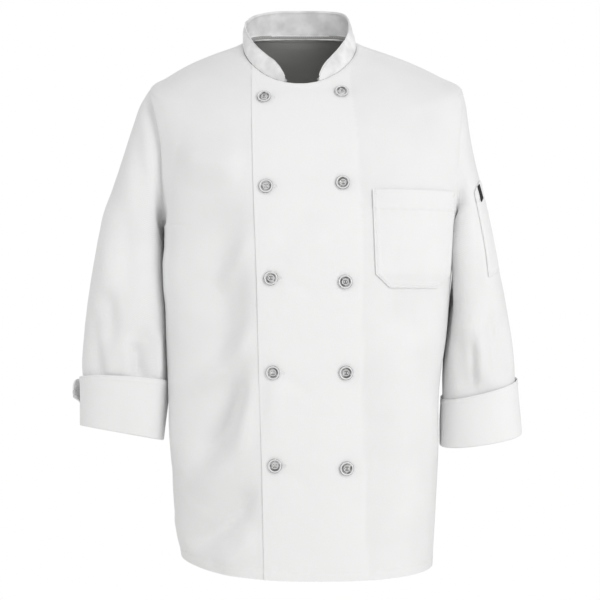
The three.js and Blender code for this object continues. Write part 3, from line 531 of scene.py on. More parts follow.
def body_panel(side):
    """One body panel: rows spaced along the sections, then folded, hemmed and seamed."""
    places, turns = body_rows()
    shares = crowded(BACK_COLUMNS if side == "back" else FRONT_COLUMNS)
    rows = []
    for place, turn in zip(places, turns):
        section = sections_at(place)
        has_armhole = not np.isnan(turn)
        if side == "back":
            start, end = np.pi, 2 * np.pi
            if has_armhole:
                start = float(armhole_at(1 - turn, False)[1])
                end = float(armhole_at(1 - turn, True)[1])
                end += 2 * np.pi if end < np.pi else 0
        else:
            top = side == "top"
            start = 0 if top else np.pi
            end = angle_at_x(section, edge_x(TOP_EDGE if top else UNDER_EDGE, section.front))
            if has_armhole:
                start = float(armhole_at(turn, top)[1])
        rows.append(ring_points(section, spaced_angles(section, start, end, shares)))
    panel = make_panel(np.array(rows), False, (0, 0, -400))
    from_seam = panel.across
    if side == "back":
        from_seam = np.minimum(panel.across, panel.across[:, -1:] - panel.across)
    held = smooth(from_seam / SEAM_HOLD)
    moved_out(panel, body_shift(panel.points, side) * held)
    from_neck = panel.up[-1:] - panel.up
    relief = beside_seam(from_seam) + hemmed(panel.up, panel.across)
    relief += stitched(from_neck, panel.across, NECK_STITCH, depth=0.9) + 1.2 * beside_seam(from_neck)
    relief -= 0.9 * (1 - smooth(from_neck / 2.0))
    grain = BACK_COLUMNS // 2 if side == "back" else -1
    moved_out(panel, relief)
    panel.grain = grain_from(panel, grain)
    return panel


# Sleeves and cuffs


def oval_points(ring, turn):
    """Points of sleeve rings at shares of a turn: 0 is outside, 0.25 in front."""
    around = 2 * np.pi * turn
    c, s = np.cos(around), np.sin(around)
    out = (1 + np.sign(c) * np.abs(c) ** SLEEVE_ROUND) / 2
    forward = np.sign(s) * np.abs(s) ** SLEEVE_ROUND
    middle_y = (ring[..., AHEAD] + ring[..., BEHIND]) / 2
    half_y = (ring[..., BEHIND] - ring[..., AHEAD]) / 2
    x = mix(ring[..., INNER_X], ring[..., OUTER_X], out)
    z = mix(ring[..., INNER_Z], ring[..., OUTER_Z], out) + ring[..., TIP] * forward
    return np.stack(np.broadcast_arrays(x, middle_y - half_y * forward, z), axis=-1)


def sleeve_points(table, place, turn):
    """Points of a sleeve: ovals, plus what is left of the armhole's own shape near the top."""
    points = oval_points(along(table, place), turn)
    hole_place, angle = armhole_at(turn, table is LEFT_SLEEVE)
    rest = ring_points(sections_at(hole_place), angle) - oval_points(table[0], turn)
    return points + rest * (1 - smooth(place / HEAD_FADE))[..., None]


def sleeve_shift(table, points, place, turn):
    """Outward shifts of a sleeve: its large folds, the tucks over its cuff and fine unevenness."""
    shift = np.zeros(np.shape(turn))
    for ring, from_turn, to_ring, to_turn, width, rise in SLEEVE_FOLDS:
        u, v = turn * PER_TURN - from_turn * PER_TURN, place - ring
        du, dv = (to_turn - from_turn) * PER_TURN, to_ring - ring
        share = (u * du + v * dv) / (du * du + dv * dv)
        away = np.abs(u * dv - v * du) / math.hypot(du, dv)
        ends = smooth((share + 0.15) / 0.4) * smooth((1.15 - share) / 0.4)
        shift += rise * ends * np.exp(-((away / (width * PER_TURN)) ** 2))
    x, z = points[..., 0], points[..., 2]
    front_folds = LEFT_SLEEVE_FRONT_FOLDS if table is LEFT_SLEEVE else RIGHT_SLEEVE_FRONT_FOLDS
    in_front = smooth(np.sin(2 * np.pi * turn) * 3)
    behind = smooth(-np.sin(2 * np.pi * turn) * 3)
    shift += in_front * fold_heights(front_folds, x, z)
    shift += behind * fold_heights(SLEEVE_BACK_FOLDS, np.abs(x), z)
    shift += 0.5 * uneven(points, 90, seed=12) + 0.18 * uneven(points, 30, seed=3)
    clear = smooth(np.abs(turn - 0.5) / 0.04 - 1.5)
    return shift * clear * smooth(place / 1.2)


def sleeve_panel(table, hollow_depth):
    """A sleeve as rings of points, with its folds and a hollow in front beside the armhole."""
    last = len(table) - 1
    ahead = armhole_turns()[::-1]
    turns = np.concatenate([ahead, 1 - ahead[-2:0:-1]])
    place, turn = np.meshgrid(np.linspace(0, last, SLEEVE_ROWS + 1), turns, indexing="ij")
    points = sleeve_points(table, place, turn)
    panel = make_panel(points, True, points[SLEEVE_ROWS // 2].mean(axis=0))
    moved_out(panel, sleeve_shift(table, panel.points, place, turn))
    in_front = smooth(np.sin(2 * np.pi * turn) * 2)
    up = panel.up[:, :len(turns)]
    hollow = hollow_depth * in_front * smooth(up / 4) * np.exp(-((up / 20) ** 2))
    return moved_out(panel, beside_seam(up) - hollow)


def grown(ring, out, up=0.0):
    """A sleeve ring made wider by a distance, and moved up."""
    outward = np.sign(ring[..., OUTER_X])
    result = np.array(ring, float)
    result[..., OUTER_X] += outward * out
    result[..., INNER_X] -= outward * out
    result[..., OUTER_Z] += up
    result[..., INNER_Z] += up
    result[..., AHEAD] -= out
    result[..., BEHIND] += out
    return result


def cuff_panel(table, top, slit_turn, flare):
    """A cuff: from inside the sleeve's end round a rolled edge, and back up outside the sleeve."""
    bottom = table[-1]
    span = FOLD_OUT + 2 * CLOTH
    bend = np.linspace(0, np.pi, ROLL_ROWS + 1)
    rings = [
        grown(bottom, -CLOTH + span * (1 - math.cos(a)) / 2, -FOLD_ROLL * math.sin(a)) for a in bend
    ]
    fold = rings[-1]
    rings += [mix(fold, top, crowded(CUFF_ROWS, 0.5)[i]) for i in range(1, CUFF_ROWS + 1)]
    rings = np.array(rings)[:, None, :]
    height = np.clip(np.arange(len(rings)) - ROLL_ROWS, 0, None)[:, None]
    height = crowded(CUFF_ROWS, 0.5)[height]
    share = 1 - np.linspace(1, 0, 2 * ARMHOLE_ROWS + 1)[None, :] ** 1.4
    slit = CUFF_SLIT / CUFF_ROUND
    turn = slit_turn + slit / 2 + share * (1 - slit)
    curl = smooth((share - 1 + FLARE_SHARE) / FLARE_SHARE) * smooth((height - 0.4) / 0.35)
    shape = (len(rings), share.size)
    grown_rings = grown(np.broadcast_to(rings, (*shape, 7)), np.broadcast_to(flare * curl, shape))
    points = oval_points(grown_rings, np.broadcast_to(turn, shape))
    if flare:
        for from_end, radius in ((1 - share, SLIT_CORNER), (share, SLIT_FRONT_CORNER)):
            cut = np.clip(1 - from_end * CUFF_ROUND / radius, 0, 1)
            drop = radius * (1 - np.sqrt(1 - cut**2))
            points[..., 2] -= drop * smooth((height - 0.4) / 0.6)
    panel = make_panel(points, False, points[-1].mean(axis=0))
    panel.rolled = curl * smooth((share - 0.97) / 0.02)
    from_top = panel.up[-1:] - panel.up
    from_end = np.minimum(panel.across, panel.across[:, -1:] - panel.across)
    length = np.broadcast_to(panel.across, shape)
    rise = 0.7 * uneven(panel.points, 60, seed=21) * smooth(height * 1.5)
    rise = rise + 0.9 * np.sin(length / 23 + 0.6) * smooth(height * 2 - 1) * smooth(from_end / 30)
    rise = rise + 0.35 * (1 - smooth((from_top - 6) / 1.5)) + stitched(from_top, length, EDGE_STITCH)
    return moved_out(panel, rise * np.sign(height + 1e-9) * smooth(height * 8))


# Collar


def corners_rounded(low, high):
    """The collar's top edge, brought down round its front corners."""
    lengths = np.concatenate([[0], np.cumsum(np.linalg.norm(np.diff(high, axis=0), axis=1))])
    tall = np.linalg.norm(high - low, axis=1)
    for from_end, radius in ((lengths, COLLAR_RIGHT_CORNER), (lengths[-1] - lengths, COLLAR_LEFT_CORNER)):
        cut = np.clip(1 - from_end / radius, 0, 1)
        drop = radius * (1 - np.sqrt(1 - cut**2))
        high = mix(high, low, (drop / tall)[:, None])
    return high


def collar_panel():
    """The collar: a band between the neckline and its own top edge."""
    section = sections_at(NECKLINE)
    start = angle_at_x(section, COLLAR_RIGHT_END)
    end = angle_at_x(section, COLLAR_LEFT_END) + 2 * np.pi
    shares = crowded(COLLAR_COLUMNS)
    low = spaced(ring_points(section, np.linspace(start, end, LINE_STEPS)), shares)
    high = spaced(along(COLLAR_TOP, np.linspace(0, len(COLLAR_TOP) - 1, LINE_STEPS)), shares)
    high = corners_rounded(low, high)
    out = low - np.array([section.middle, section.depth, 0])
    out[:, 2] = 0
    out = unit(out)
    share = crowded(COLLAR_ROWS)[:, None, None]
    points = mix(low, high, share) + out * COLLAR_SWELL * 4 * share * (1 - share)
    panel = make_panel(points, False, (section.middle, section.depth, 0))
    panel.inward = -panel.normals
    panel.inward[0, :, 2] -= TAPE_HANG
    from_top = panel.up[-1:] - panel.up
    from_end = np.minimum(panel.across, panel.across[:, -1:] - panel.across)
    rise = stitched(from_top, panel.across, EDGE_STITCH, depth=0.8, pucker=0.2)
    rise += stitched(from_end, panel.up, EDGE_STITCH, depth=0.5, pucker=0)
    rise += 0.9 * uneven(panel.points, 55, seed=31) * smooth(panel.up / 12)
    rise += 0.5 * uneven(panel.points, 22, seed=35) * smooth(panel.up / 8)
    rise += 0.5 * (1 - smooth((np.minimum(from_top, from_end) - 1.2) / 1.0))
    rise -= COLLAR_CREASE * (1 - smooth(panel.up / 2.6))
    return moved_out(panel, rise)


# Pockets


def surface_of(panel):
    """A search tree of a panel's outside, for placing what is sewn on it."""
    rows, columns = panel.points.shape[:2]
    i, j = np.meshgrid(np.arange(rows - 1), np.arange(columns - 1), indexing="ij")
    corner = i * columns + j
    quads = np.stack([corner, corner + 1, corner + columns + 1, corner + columns], axis=-1)
    return BVHTree.FromPolygons(panel.points.reshape(-1, 3).tolist(), quads.reshape(-1, 4).tolist())


FAR_AHEAD = -400


def from_front(surface, x, z):
    """The place of a surface that shows at x and z from the front, and its normal."""
    hits = []
    for dx, dz in ((0, 0), (1.5, 0), (0, 1.5)):
        place = surface.ray_cast(Vector((x + dx, FAR_AHEAD, z + dz)), Vector((0, 1, 0)))[0]
        if place is None:
            place = surface.find_nearest(Vector((x + dx, FAR_AHEAD / 2, z + dz)))[0]
        hits.append(np.array(place))
    normal = unit(np.cross(hits[1] - hits[0], hits[2] - hits[0]))
    return hits[0], normal


def on_front(surface, x, z):
    """Places and normals of a surface seen from the front, for grids of x and z."""
    found = [from_front(surface, *pair) for pair in zip(np.ravel(x), np.ravel(z))]
    shape = (*np.shape(x), 3)
    return np.reshape([p for p, _ in found], shape), np.reshape([n for _, n in found], shape)


def pocket_side(up, side):
    """The x of the chest pocket's inner or outer side at shares of its height, corners cut off."""
    tall = POCKET_TOP.height - POCKET_BOTTOM.height
    cut = np.maximum(0, POCKET_CORNER - up * tall)
    if side == "inner":
        return mix(POCKET_BOTTOM.inner, POCKET_TOP.inner, up) + cut
    return mix(POCKET_BOTTOM.outer, POCKET_TOP.outer, up) - cut


def patch_edges(across, width, up, tall, hem):
    """Relief of a sewn patch: raised double rim, two rows of stitching, and a hem at the mouth."""
    from_side = np.minimum(across, width - across)
    from_rim = np.minimum(from_side, up)
    rim = 0.3 * (1 - smooth((from_rim - 7) / 2))
    rise = rim + stitched(from_rim, up + across, EDGE_STITCH, depth=0.5, pucker=0.16, wave=12)
    from_mouth = tall - up
    rise += 0.45 * (1 - smooth((from_mouth - hem + 0.8) / 1.6))
    rise += stitched(from_mouth, across, hem, depth=0.5, pucker=0.14, wave=13)
    return rise


def chest_pocket_panel(front):
    up, share = np.meshgrid(crowded(POCKET_ROWS, 0.6), crowded(POCKET_COLUMNS, 0.6), indexing="ij")
    x = mix(pocket_side(up, "outer"), pocket_side(up, "inner"), share)
    z = mix(POCKET_BOTTOM.height, POCKET_TOP.height, up)
    points, normals = on_front(surface_of(front), x, z)
    panel = make_panel(points + normals * (POCKET_LIFT + POCKET_CLOTH), False, (150, 0, -280))
    tall = POCKET_TOP.height - POCKET_BOTTOM.height
    rise = patch_edges(panel.across, panel.across[:, -1:], up * tall, tall, POCKET_HEM)
    gape = 1.4 * smooth((up - 0.75) / 0.25) * np.sin(np.pi * share)
    sag = 0.9 * np.exp(-(((up - 0.45) / 0.3) ** 2)) * np.sin(np.pi * share)
    crease = fold_heights([(112, -330, 122, -300, 128, -262, 8, -0.8)], panel.points[..., 0], panel.points[..., 2])
    return moved_out(panel, rise + gape + sag + crease + 0.2 * uneven(points, 40, seed=40))


def sleeve_patch(table, area, columns, rows, lift):
    """A patch on a sleeve, between two rings and two turns."""
    ring, turn = np.meshgrid(
        mix(area.to_ring, area.from_ring, crowded(rows, 0.6)),
        mix(area.from_turn, area.to_turn, crowded(columns, 0.6)),
        indexing="ij",
    )
    share = (turn - area.from_turn) / (area.to_turn - area.from_turn)
    ring = ring + area.slant * (0.5 - share) * (area.to_ring - ring) / (area.to_ring - area.from_ring)
    step = 0.02
    points = shaped_sleeve(table, ring, turn)
    down = shaped_sleeve(table, ring + step, turn) - shaped_sleeve(table, ring - step, turn)
    round_ = shaped_sleeve(table, ring, turn + step / 8) - shaped_sleeve(table, ring, turn - step / 8)
    normals = unit(np.cross(round_, down))
    middle = normals[rows // 2, columns // 2]
    sign = 1 if middle @ (points[rows // 2, columns // 2] - shaped_sleeve(table, 5.0, 0.5)) > 0 else -1
    normals = normals * sign
    return make_panel(points + normals * lift, False, points[rows // 2, columns // 2] - 20 * sign * middle)


def shaped_sleeve(table, place, turn):
    """A sleeve's folded outside at rings and turns, worked out from a small patch of its grid."""
    place, turn = np.broadcast_arrays(np.asarray(place, float), np.asarray(turn, float))
    points = sleeve_points(table, place, turn)
    step = 0.01
    down = sleeve_points(table, place + step, turn) - sleeve_points(table, place - step, turn)
    round_ = sleeve_points(table, place, turn + step) - sleeve_points(table, place, turn - step)
    out = unit(np.cross(round_, down))
    centre = (sleeve_points(table, place, turn * 0) + sleeve_points(table, place, turn * 0 + 0.5)) / 2
    out = out * np.sign(np.sum(out * (points - centre), axis=-1, keepdims=True))
    return points + out * sleeve_shift(table, points, place, turn)[..., None]


def pen_pocket_panel():
    panel = sleeve_patch(LEFT_SLEEVE, PEN_POCKET, 40, 100, PATCH_GAP + POCKET_CLOTH)
    tall = panel.up[-1:]
    rise = patch_edges(panel.across, panel.across[:, -1:], panel.up, tall, PEN_POCKET_HEM)
    return moved_out(panel, rise)


# Meshes


def wall_faces(rows, columns, closed, flip):
    """Corner indices of a wall's outside, inside and rims, as grid places and layers."""
    last = columns if closed else columns - 1
    i, j = np.meshgrid(np.arange(rows - 1), np.arange(last), indexing="ij")
    i, j = i.ravel(), j.ravel()

    def quads(*corners):
        faces = np.stack([np.stack(np.broadcast_arrays(*corner), axis=-1) for corner in corners], axis=1)
        return faces if flip > 0 else faces[:, ::-1]

    outside = quads((i, j, 0), (i, j + 1, 0), (i + 1, j + 1, 0), (i + 1, j, 0))
    inside = quads((i, j + 1, 1), (i, j, 1), (i + 1, j, 1), (i + 1, j + 1, 1))
    ring = np.arange(last)
    top = rows - 1
    rims = [
        quads((0, ring + 1, 0), (0, ring, 0), (0, ring, 1), (0, ring + 1, 1)),
        quads((top, ring, 0), (top, ring + 1, 0), (top, ring + 1, 1), (top, ring, 1)),
    ]
    if not closed:
        up = np.arange(rows - 1)
        end = columns - 1
        rims.append(quads((up, 0, 0), (up + 1, 0, 0), (up + 1, 0, 1), (up, 0, 1)))
        rims.append(quads((up + 1, end, 0), (up, end, 0), (up, end, 1), (up + 1, end, 1)))
    return outside, inside, np.concatenate(rims)


def cloth_piece(name, panel, thickness, outer, inner, nodes, layers=0, tape=None):
    """A cloth wall as a finished piece: its mesh and softened rims, hung on the body in place of its frame parts.
    """
    rows, columns = panel.points.shape[:2]
    outside, inside, rims = wall_faces(rows, columns, panel.closed, panel.flip)
    corners = np.concatenate([outside, inside, rims])
    index = corners[..., 0] * columns + corners[..., 1] % columns + corners[..., 2] * rows * columns
    inner_points = panel.points + getattr(panel, "inward", -panel.normals) * thickness
    vertices = np.concatenate([panel.points.reshape(-1, 3), inner_points.reshape(-1, 3)]) * MM
    mesh = bpy.data.meshes.new(name)
    mesh.from_pydata(vertices.tolist(), [], index.tolist())
    mesh.materials.append(outer)
    mesh.materials.append(inner)
    i, j = corners[..., 0], corners[..., 1]
    side = np.zeros(len(corners), np.int32)
    side[len(outside):len(outside) + len(inside)] = 1
    # The tape's faces inside the collar take a darker material: painted shade inside the neck.
    if tape:
        mesh.materials.append(tape)
        heights = panel.up[i, np.minimum(j, panel.up.shape[1] - 1)].max(axis=1)
        side[(corners[..., 2].max(axis=1) == 1) & (heights < NECK_TAPE + 0.4)] = 2
    mesh.polygons.foreach_set("material_index", side)
    mesh.polygons.foreach_set("use_smooth", np.ones(len(corners), bool))
    across, up = getattr(panel, "grain", (panel.across, panel.up))
    up = np.concatenate([up, up[:, :1]], axis=1)
    uv = np.stack([across[i, np.minimum(j, across.shape[1] - 1)], up[i, j]], axis=-1) * MM
    mesh.uv_layers.new(name="cloth").data.foreach_set("uv", uv.astype(np.float32).ravel())
    doubled = np.broadcast_to(np.asarray(layers, float), (rows, columns))
    attribute = mesh.attributes.new("doubled", "FLOAT", "POINT")
    attribute.data.foreach_set("value", np.concatenate([doubled.ravel(), doubled.ravel()]).astype(np.float32))
    piece = bpy.data.objects.new(name, mesh)
    bpy.context.collection.objects.link(piece)
    soften(piece, width=0.3)
    finish_piece(piece, nodes)
    declare_sheet(panel)
    return piece


def soften(piece, width):
    """Rounds the sharp rims of a piece and makes the result its plain mesh."""
    bevel = piece.modifiers.new("soft rims", "BEVEL")
    bevel.width = width * MM
    bevel.segments = 2
    bevel.limit_method = "ANGLE"
    bevel.angle_limit = math.radians(50)
    bevel.use_clamp_overlap = True
    made_plain(piece)


def made_plain(piece):
    """Replaces a piece's mesh with what its modifiers make, and takes the modifiers off."""
    evaluated = piece.evaluated_get(bpy.context.evaluated_depsgraph_get())
    plain = bpy.data.meshes.new_from_object(evaluated)
    plain.name = piece.name
    piece.modifiers.clear()
    piece.data = plain


def finish_piece(piece, nodes):
    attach(piece, BODY)
    if nodes:
        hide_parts(*nodes)


def declare_sheet(panel):
    cells = np.diff(panel.up, axis=0)
    wide = np.diff(panel.across, axis=1)
    columns = cells.shape[1]
    if not panel.closed:
        cells = (cells[:, 1:] + cells[:, :-1]) / 2
        columns -= 1
    wide = (wide[1:, :columns] + wide[:-1, :columns]) / 2


# Paths of stitching


def at_places(panel, row, column):
    """Points and normals of a panel at fractional rows and columns."""
    rows, columns = panel.points.shape[:2]
    i = np.clip(np.floor(row).astype(int), 0, rows - 2)
    limit = columns if panel.closed else columns - 1
    j = np.clip(np.floor(column).astype(int), 0, limit - 1)
    s, t = (row - i)[:, None], (column - j)[:, None]
    result = []
    for grid in (panel.points, panel.normals):
        low = mix(grid[i, j], grid[i, (j + 1) % columns], t)
        high = mix(grid[i + 1, j], grid[i + 1, (j + 1) % columns], t)
        result.append(mix(low, high, s))
    return result[0], unit(result[1])


def row_of_stitches(panel, distance, from_top=False, inset=0.0):
    """A path at a distance from the panel's lower or upper edge."""
    columns = panel.points.shape[1]
    rows = []
    for j in range(columns):
        lengths = panel.up[:, j]
        target = lengths[-1] - distance if from_top else distance
        rows.append(np.interp(target, lengths, np.arange(len(lengths))))
    column = np.arange(columns, dtype=float)
    if panel.closed:
        rows.append(rows[0])
        column = np.append(column, columns - 1e-6)
    middle = panel.across[len(panel.across) // 2][: len(column)]
    keep = (middle >= inset) & (middle <= middle[-1] - inset)
    return at_places(panel, np.array(rows)[keep], column[keep])


def column_of_stitches(panel, distance, from_end=False, inset=0.0):
    """A path at a distance from the panel's first or last column."""
    rows = panel.points.shape[0]
    columns = []
    for i in range(rows):
        lengths = panel.across[i, : panel.points.shape[1]]
        target = lengths[-1] - distance if from_end else distance
        columns.append(np.interp(target, lengths, np.arange(len(lengths))))
    lengths = panel.up[:, -1 if from_end else 0]
    keep = (lengths >= inset) & (lengths <= lengths[-1] - inset)
    return at_places(panel, np.arange(rows, dtype=float)[keep], np.array(columns)[keep])


def corner_tack(panel, from_end):
    """A path slanting across a pocket's upper corner."""
    distance = np.linspace(EDGE_STITCH, TACK_REACH, 8)
    lengths = panel.up[:, 0]
    row = np.interp(lengths[-1] - distance, lengths, np.arange(len(lengths)))
    lengths = panel.across[-1]
    target = lengths[-1] - distance if from_end else distance
    return at_places(panel, row, np.interp(target, lengths, np.arange(len(lengths))))


def path_object(name, paths, lift):
    """A mesh of open lines lying on the cloth, each point with the cloth's normal."""
    vertices, edges, normals = [], [], []
    for points, outward in paths:
        first = len(vertices)
        vertices += ((points + outward * lift) * MM).tolist()
        normals += outward.tolist()
        edges += [(first + n, first + n + 1) for n in range(len(points) - 1)]
    mesh = bpy.data.meshes.new(name)
    mesh.from_pydata(vertices, edges, [])
    attribute = mesh.attributes.new("cloth_normal", "FLOAT_VECTOR", "POINT")
    attribute.data.foreach_set("vector", np.array(normals, np.float32).ravel())
    piece = bpy.data.objects.new(name, mesh)
    bpy.context.collection.objects.link(piece)
    return piece


# Nodes


def add_node(tree, kind, settings=None, inputs=None):
    """Adds a node with its settings; an input is a value or a socket to link."""
    node = tree.nodes.new(kind)
    for name, value in (settings or {}).items():
        setattr(node, name, value)
    for key, value in (inputs or {}).items():
        if isinstance(value, bpy.types.NodeSocket):
            tree.links.new(value, node.inputs[key])
        else:
            node.inputs[key].default_value = value
    return node


def stitch_tree():
    """Stitches laid one after another along paths, lying flat on the cloth."""
    tree = bpy.data.node_groups.new("Stitches along paths", "GeometryNodeTree")
    sockets = [
        ("Paths", "NodeSocketGeometry"),
        ("Pitch", "NodeSocketFloat"),
        ("Stitch length", "NodeSocketFloat"),
        ("Thread width", "NodeSocketFloat"),
        ("Turn", "NodeSocketFloat"),
        ("Thread", "NodeSocketMaterial"),
    ]
    for name, kind in sockets:
        tree.interface.new_socket(name, in_out="INPUT", socket_type=kind)
    tree.interface.new_socket("Stitches", in_out="OUTPUT", socket_type="NodeSocketGeometry")
    given = add_node(tree, "NodeGroupInput").outputs
    curve = add_node(tree, "GeometryNodeMeshToCurve", inputs={"Mesh": given["Paths"]})
    spaced_curve = add_node(
        tree,
        "GeometryNodeResampleCurve",
        {"mode": "LENGTH"},
        {"Curve": curve.outputs["Curve"], "Length": given["Pitch"]},
    )
    ball = add_node(tree, "GeometryNodeMeshUVSphere", inputs={"Segments": 6, "Rings": 4, "Radius": 0.5})
    size = add_node(
        tree,
        "ShaderNodeCombineXYZ",
        inputs={"X": given["Stitch length"], "Y": given["Thread width"], "Z": given["Thread width"]},
    )
    stitch = add_node(
        tree,
        "GeometryNodeTransform",
        inputs={"Geometry": ball.outputs["Mesh"], "Scale": size.outputs["Vector"]},
    )
    tangent = add_node(tree, "GeometryNodeInputTangent")
    normal = add_node(
        tree, "GeometryNodeInputNamedAttribute", {"data_type": "FLOAT_VECTOR"}, {"Name": "cloth_normal"}
    )
    lying = add_node(
        tree,
        "FunctionNodeAlignRotationToVector",
        {"axis": "Z"},
        {"Vector": normal.outputs["Attribute"]},
    )
    turned = add_node(
        tree,
        "FunctionNodeAlignRotationToVector",
        {"axis": "X", "pivot_axis": "Z"},
        {"Rotation": lying.outputs["Rotation"], "Vector": tangent.outputs["Tangent"]},
    )
    angle = add_node(tree, "ShaderNodeCombineXYZ", inputs={"Z": given["Turn"]})
    across = add_node(
        tree,
        "FunctionNodeRotateRotation",
        {"rotation_space": "LOCAL"},
        {"Rotation": turned.outputs["Rotation"], "Rotate By": angle.outputs["Vector"]},
    )
    laid = add_node(
        tree,
        "GeometryNodeInstanceOnPoints",
        inputs={
            "Points": spaced_curve.outputs["Curve"],
            "Instance": stitch.outputs["Geometry"],
            "Rotation": across.outputs["Rotation"],
        },
    )
    real = add_node(tree, "GeometryNodeRealizeInstances", inputs={"Geometry": laid.outputs["Instances"]})
    shade = add_node(tree, "GeometryNodeSetShadeSmooth", inputs={"Geometry": real.outputs["Geometry"]})
    coloured = add_node(
        tree,
        "GeometryNodeSetMaterial",
        inputs={"Geometry": shade.outputs["Geometry"], "Material": given["Thread"]},
    )
    add_node(tree, "NodeGroupOutput", inputs={"Stitches": coloured.outputs["Geometry"]})
    return tree


def sewn(name, paths, tree, thread, pitch, length, width, turn=0.0, lift=0.15):
    """A piece of stitches along paths."""
    piece = path_object(name, paths, lift)
    modifier = piece.modifiers.new("stitches", "NODES")
    modifier.node_group = tree
    values = {
        "Pitch": pitch * MM,
        "Stitch length": length * MM,
        "Thread width": width * MM,
        "Turn": turn,
        "Thread": thread,
    }
    for item in tree.interface.items_tree:
        if item.name in values:
            modifier[item.identifier] = values[item.name]
    made_plain(piece)
    finish_piece(piece, ())
    return piece


# Materials


def colour(hex_value):
    """An sRGB hex value as a linear colour."""
    channels = [int(hex_value[n:n + 2], 16) / 255 for n in (1, 3, 5)]
    linear = [c / 12.92 if c <= 0.04045 else ((c + 0.055) / 1.055) ** 2.4 for c in channels]
    return (*linear, 1.0)


def new_material(name):
    material = bpy.data.materials.new(name)
    material.use_nodes = True
    material.node_tree.nodes.clear()
    return material, material.node_tree


def surface_output(tree, shader):
    add_node(tree, "ShaderNodeOutputMaterial", inputs={"Surface": shader.outputs["BSDF"]})


def wave_scale(wavelength_mm):
    """Scale of Blender's diagonal bands for a distance between their ridges."""
    return 2 * math.pi / (10 * math.sqrt(2) * wavelength_mm * MM)


def twill(name, light, shade, wale_mm, rough, cloud_mm=90, clouds=1.0):
    """Bleached polyester and cotton twill: matt white with fine slanting ribs and a slight nap.
    Real wales lie 0.6 mm apart, too fine to show, so they are drawn wider."""
    material, tree = new_material(name)
    uv = add_node(tree, "ShaderNodeUVMap", {"uv_map": "cloth"})
    place = add_node(tree, "ShaderNodeTexCoord")
    ribs = add_node(
        tree,
        "ShaderNodeTexWave",
        {"wave_type": "BANDS", "bands_direction": "DIAGONAL"},
        {"Vector": uv.outputs["UV"], "Scale": wave_scale(wale_mm), "Distortion": 1.2, "Detail": 1.0,
         "Detail Scale": 1.5},
    )
    slubs = add_node(
        tree, "ShaderNodeTexNoise", inputs={"Vector": uv.outputs["UV"], "Scale": 1 / (3 * MM), "Detail": 3.0}
    )
    wash = add_node(
        tree, "ShaderNodeTexNoise",
        inputs={"Vector": place.outputs["Object"], "Scale": 1 / (cloud_mm * MM), "Detail": 2.0},
    )
    backed = add_node(tree, "ShaderNodeAttribute", {"attribute_name": "doubled"})
    # Clouds of darker and lighter tone: random on the body's cloth; strong and small on the collar, where they are
    # painted shade of its wrinkles.
    cloudy = add_node(
        tree, "ShaderNodeMath", {"operation": "MULTIPLY_ADD"},
        {0: wash.outputs["Fac"], 1: clouds, 2: (1 - clouds) / 2},
    )
    tone = add_node(
        tree, "ShaderNodeMath", {"operation": "MULTIPLY_ADD"},
        {0: ribs.outputs["Fac"], 1: 0.18, 2: cloudy.outputs["Value"]},
    )
    tone = add_node(
        tree, "ShaderNodeMath", {"operation": "MULTIPLY_ADD"},
        {0: backed.outputs["Fac"], 1: 0.5, 2: tone.outputs["Value"]},
    )
    base = add_node(
        tree, "ShaderNodeMix", {"data_type": "RGBA"},
        {0: tone.outputs["Value"], 6: colour(shade), 7: colour(light)},
    )
    weave = add_node(
        tree, "ShaderNodeMath", {"operation": "MULTIPLY_ADD"},
        {0: slubs.outputs["Fac"], 1: 0.6, 2: ribs.outputs["Fac"]},
    )
    bump = add_node(
        tree, "ShaderNodeBump",
        inputs={"Strength": 0.5, "Distance": 0.2 * MM, "Height": weave.outputs["Value"]},
    )
    shader = add_node(
        tree, "ShaderNodeBsdfPrincipled",
        inputs={
            "Base Color": base.outputs[2],
            "Roughness": rough,
            "Specular IOR Level": 0.3,
            "Sheen Weight": 0.12,
            "Sheen Roughness": 0.5,
            "Normal": bump.outputs["Normal"],
        },
    )
    surface_output(tree, shader)
    return material


# Tones of a button from its middle to its rim, as shares of its radius: painted reflections and shade, dark in its
# groove, middle and outer edge, bright on the rings that face the light
BUTTON_RINGS_PAINTED_LIGHT = [(0.0, "#8a8a8a"), (0.3, "#7c7c7c"), (0.38, "#dcdcdc"), (0.46, "#d4d4d4"), (0.52, "#5c5c5c"),
               (0.7, "#6a6a6a"), (0.78, "#ececec"), (0.89, "#e8e8e8"), (0.95, "#8c8c8c"), (1.0, "#5c5c5c")]


def pearl_plastic_painted_light():
    """Moulded polyester button blank with a pearly swirl. Its rings of tone are painted: bright rings are painted
    highlights and reflections, and the groove and middle are dark with painted shade.
    """
    material, tree = new_material("Pearl polyester, polished, with painted reflections")
    place = add_node(tree, "ShaderNodeTexCoord")
    swirl = add_node(
        tree, "ShaderNodeTexNoise",
        inputs={"Vector": place.outputs["Object"], "Scale": 1 / (9 * MM), "Detail": 1.0, "Distortion": 1.0},
    )
    radius = add_node(tree, "ShaderNodeAttribute", {"attribute_name": "from_middle"})
    # Rings of tone across the face: painted highlights, reflections and shade.
    rings = add_node(tree, "ShaderNodeValToRGB", inputs={"Fac": radius.outputs["Fac"]})
    ramp = rings.color_ramp
    for element, (share, tone) in zip(ramp.elements, (BUTTON_RINGS_PAINTED_LIGHT[0], BUTTON_RINGS_PAINTED_LIGHT[-1])):
        element.position, element.color = share, colour(tone)
    for share, tone in BUTTON_RINGS_PAINTED_LIGHT[1:-1]:
        ramp.elements.new(share).color = colour(tone)
    pearly = add_node(
        tree, "ShaderNodeMath", {"operation": "MULTIPLY_ADD", "use_clamp": True},
        {0: swirl.outputs["Fac"], 1: 3.2, 2: -1.35},
    )
    base = add_node(
        tree, "ShaderNodeMix", {"data_type": "RGBA"},
        {0: pearly.outputs["Value"], 6: rings.outputs["Color"], 7: colour("#e2e2e2")},
    )
    shader = add_node(
        tree, "ShaderNodeBsdfPrincipled",
        inputs={"Base Color": base.outputs[2], "Roughness": 0.16, "IOR": 1.56, "Coat Weight": 0.6,
                "Coat Roughness": 0.08},
    )
    surface_output(tree, shader)
    return material


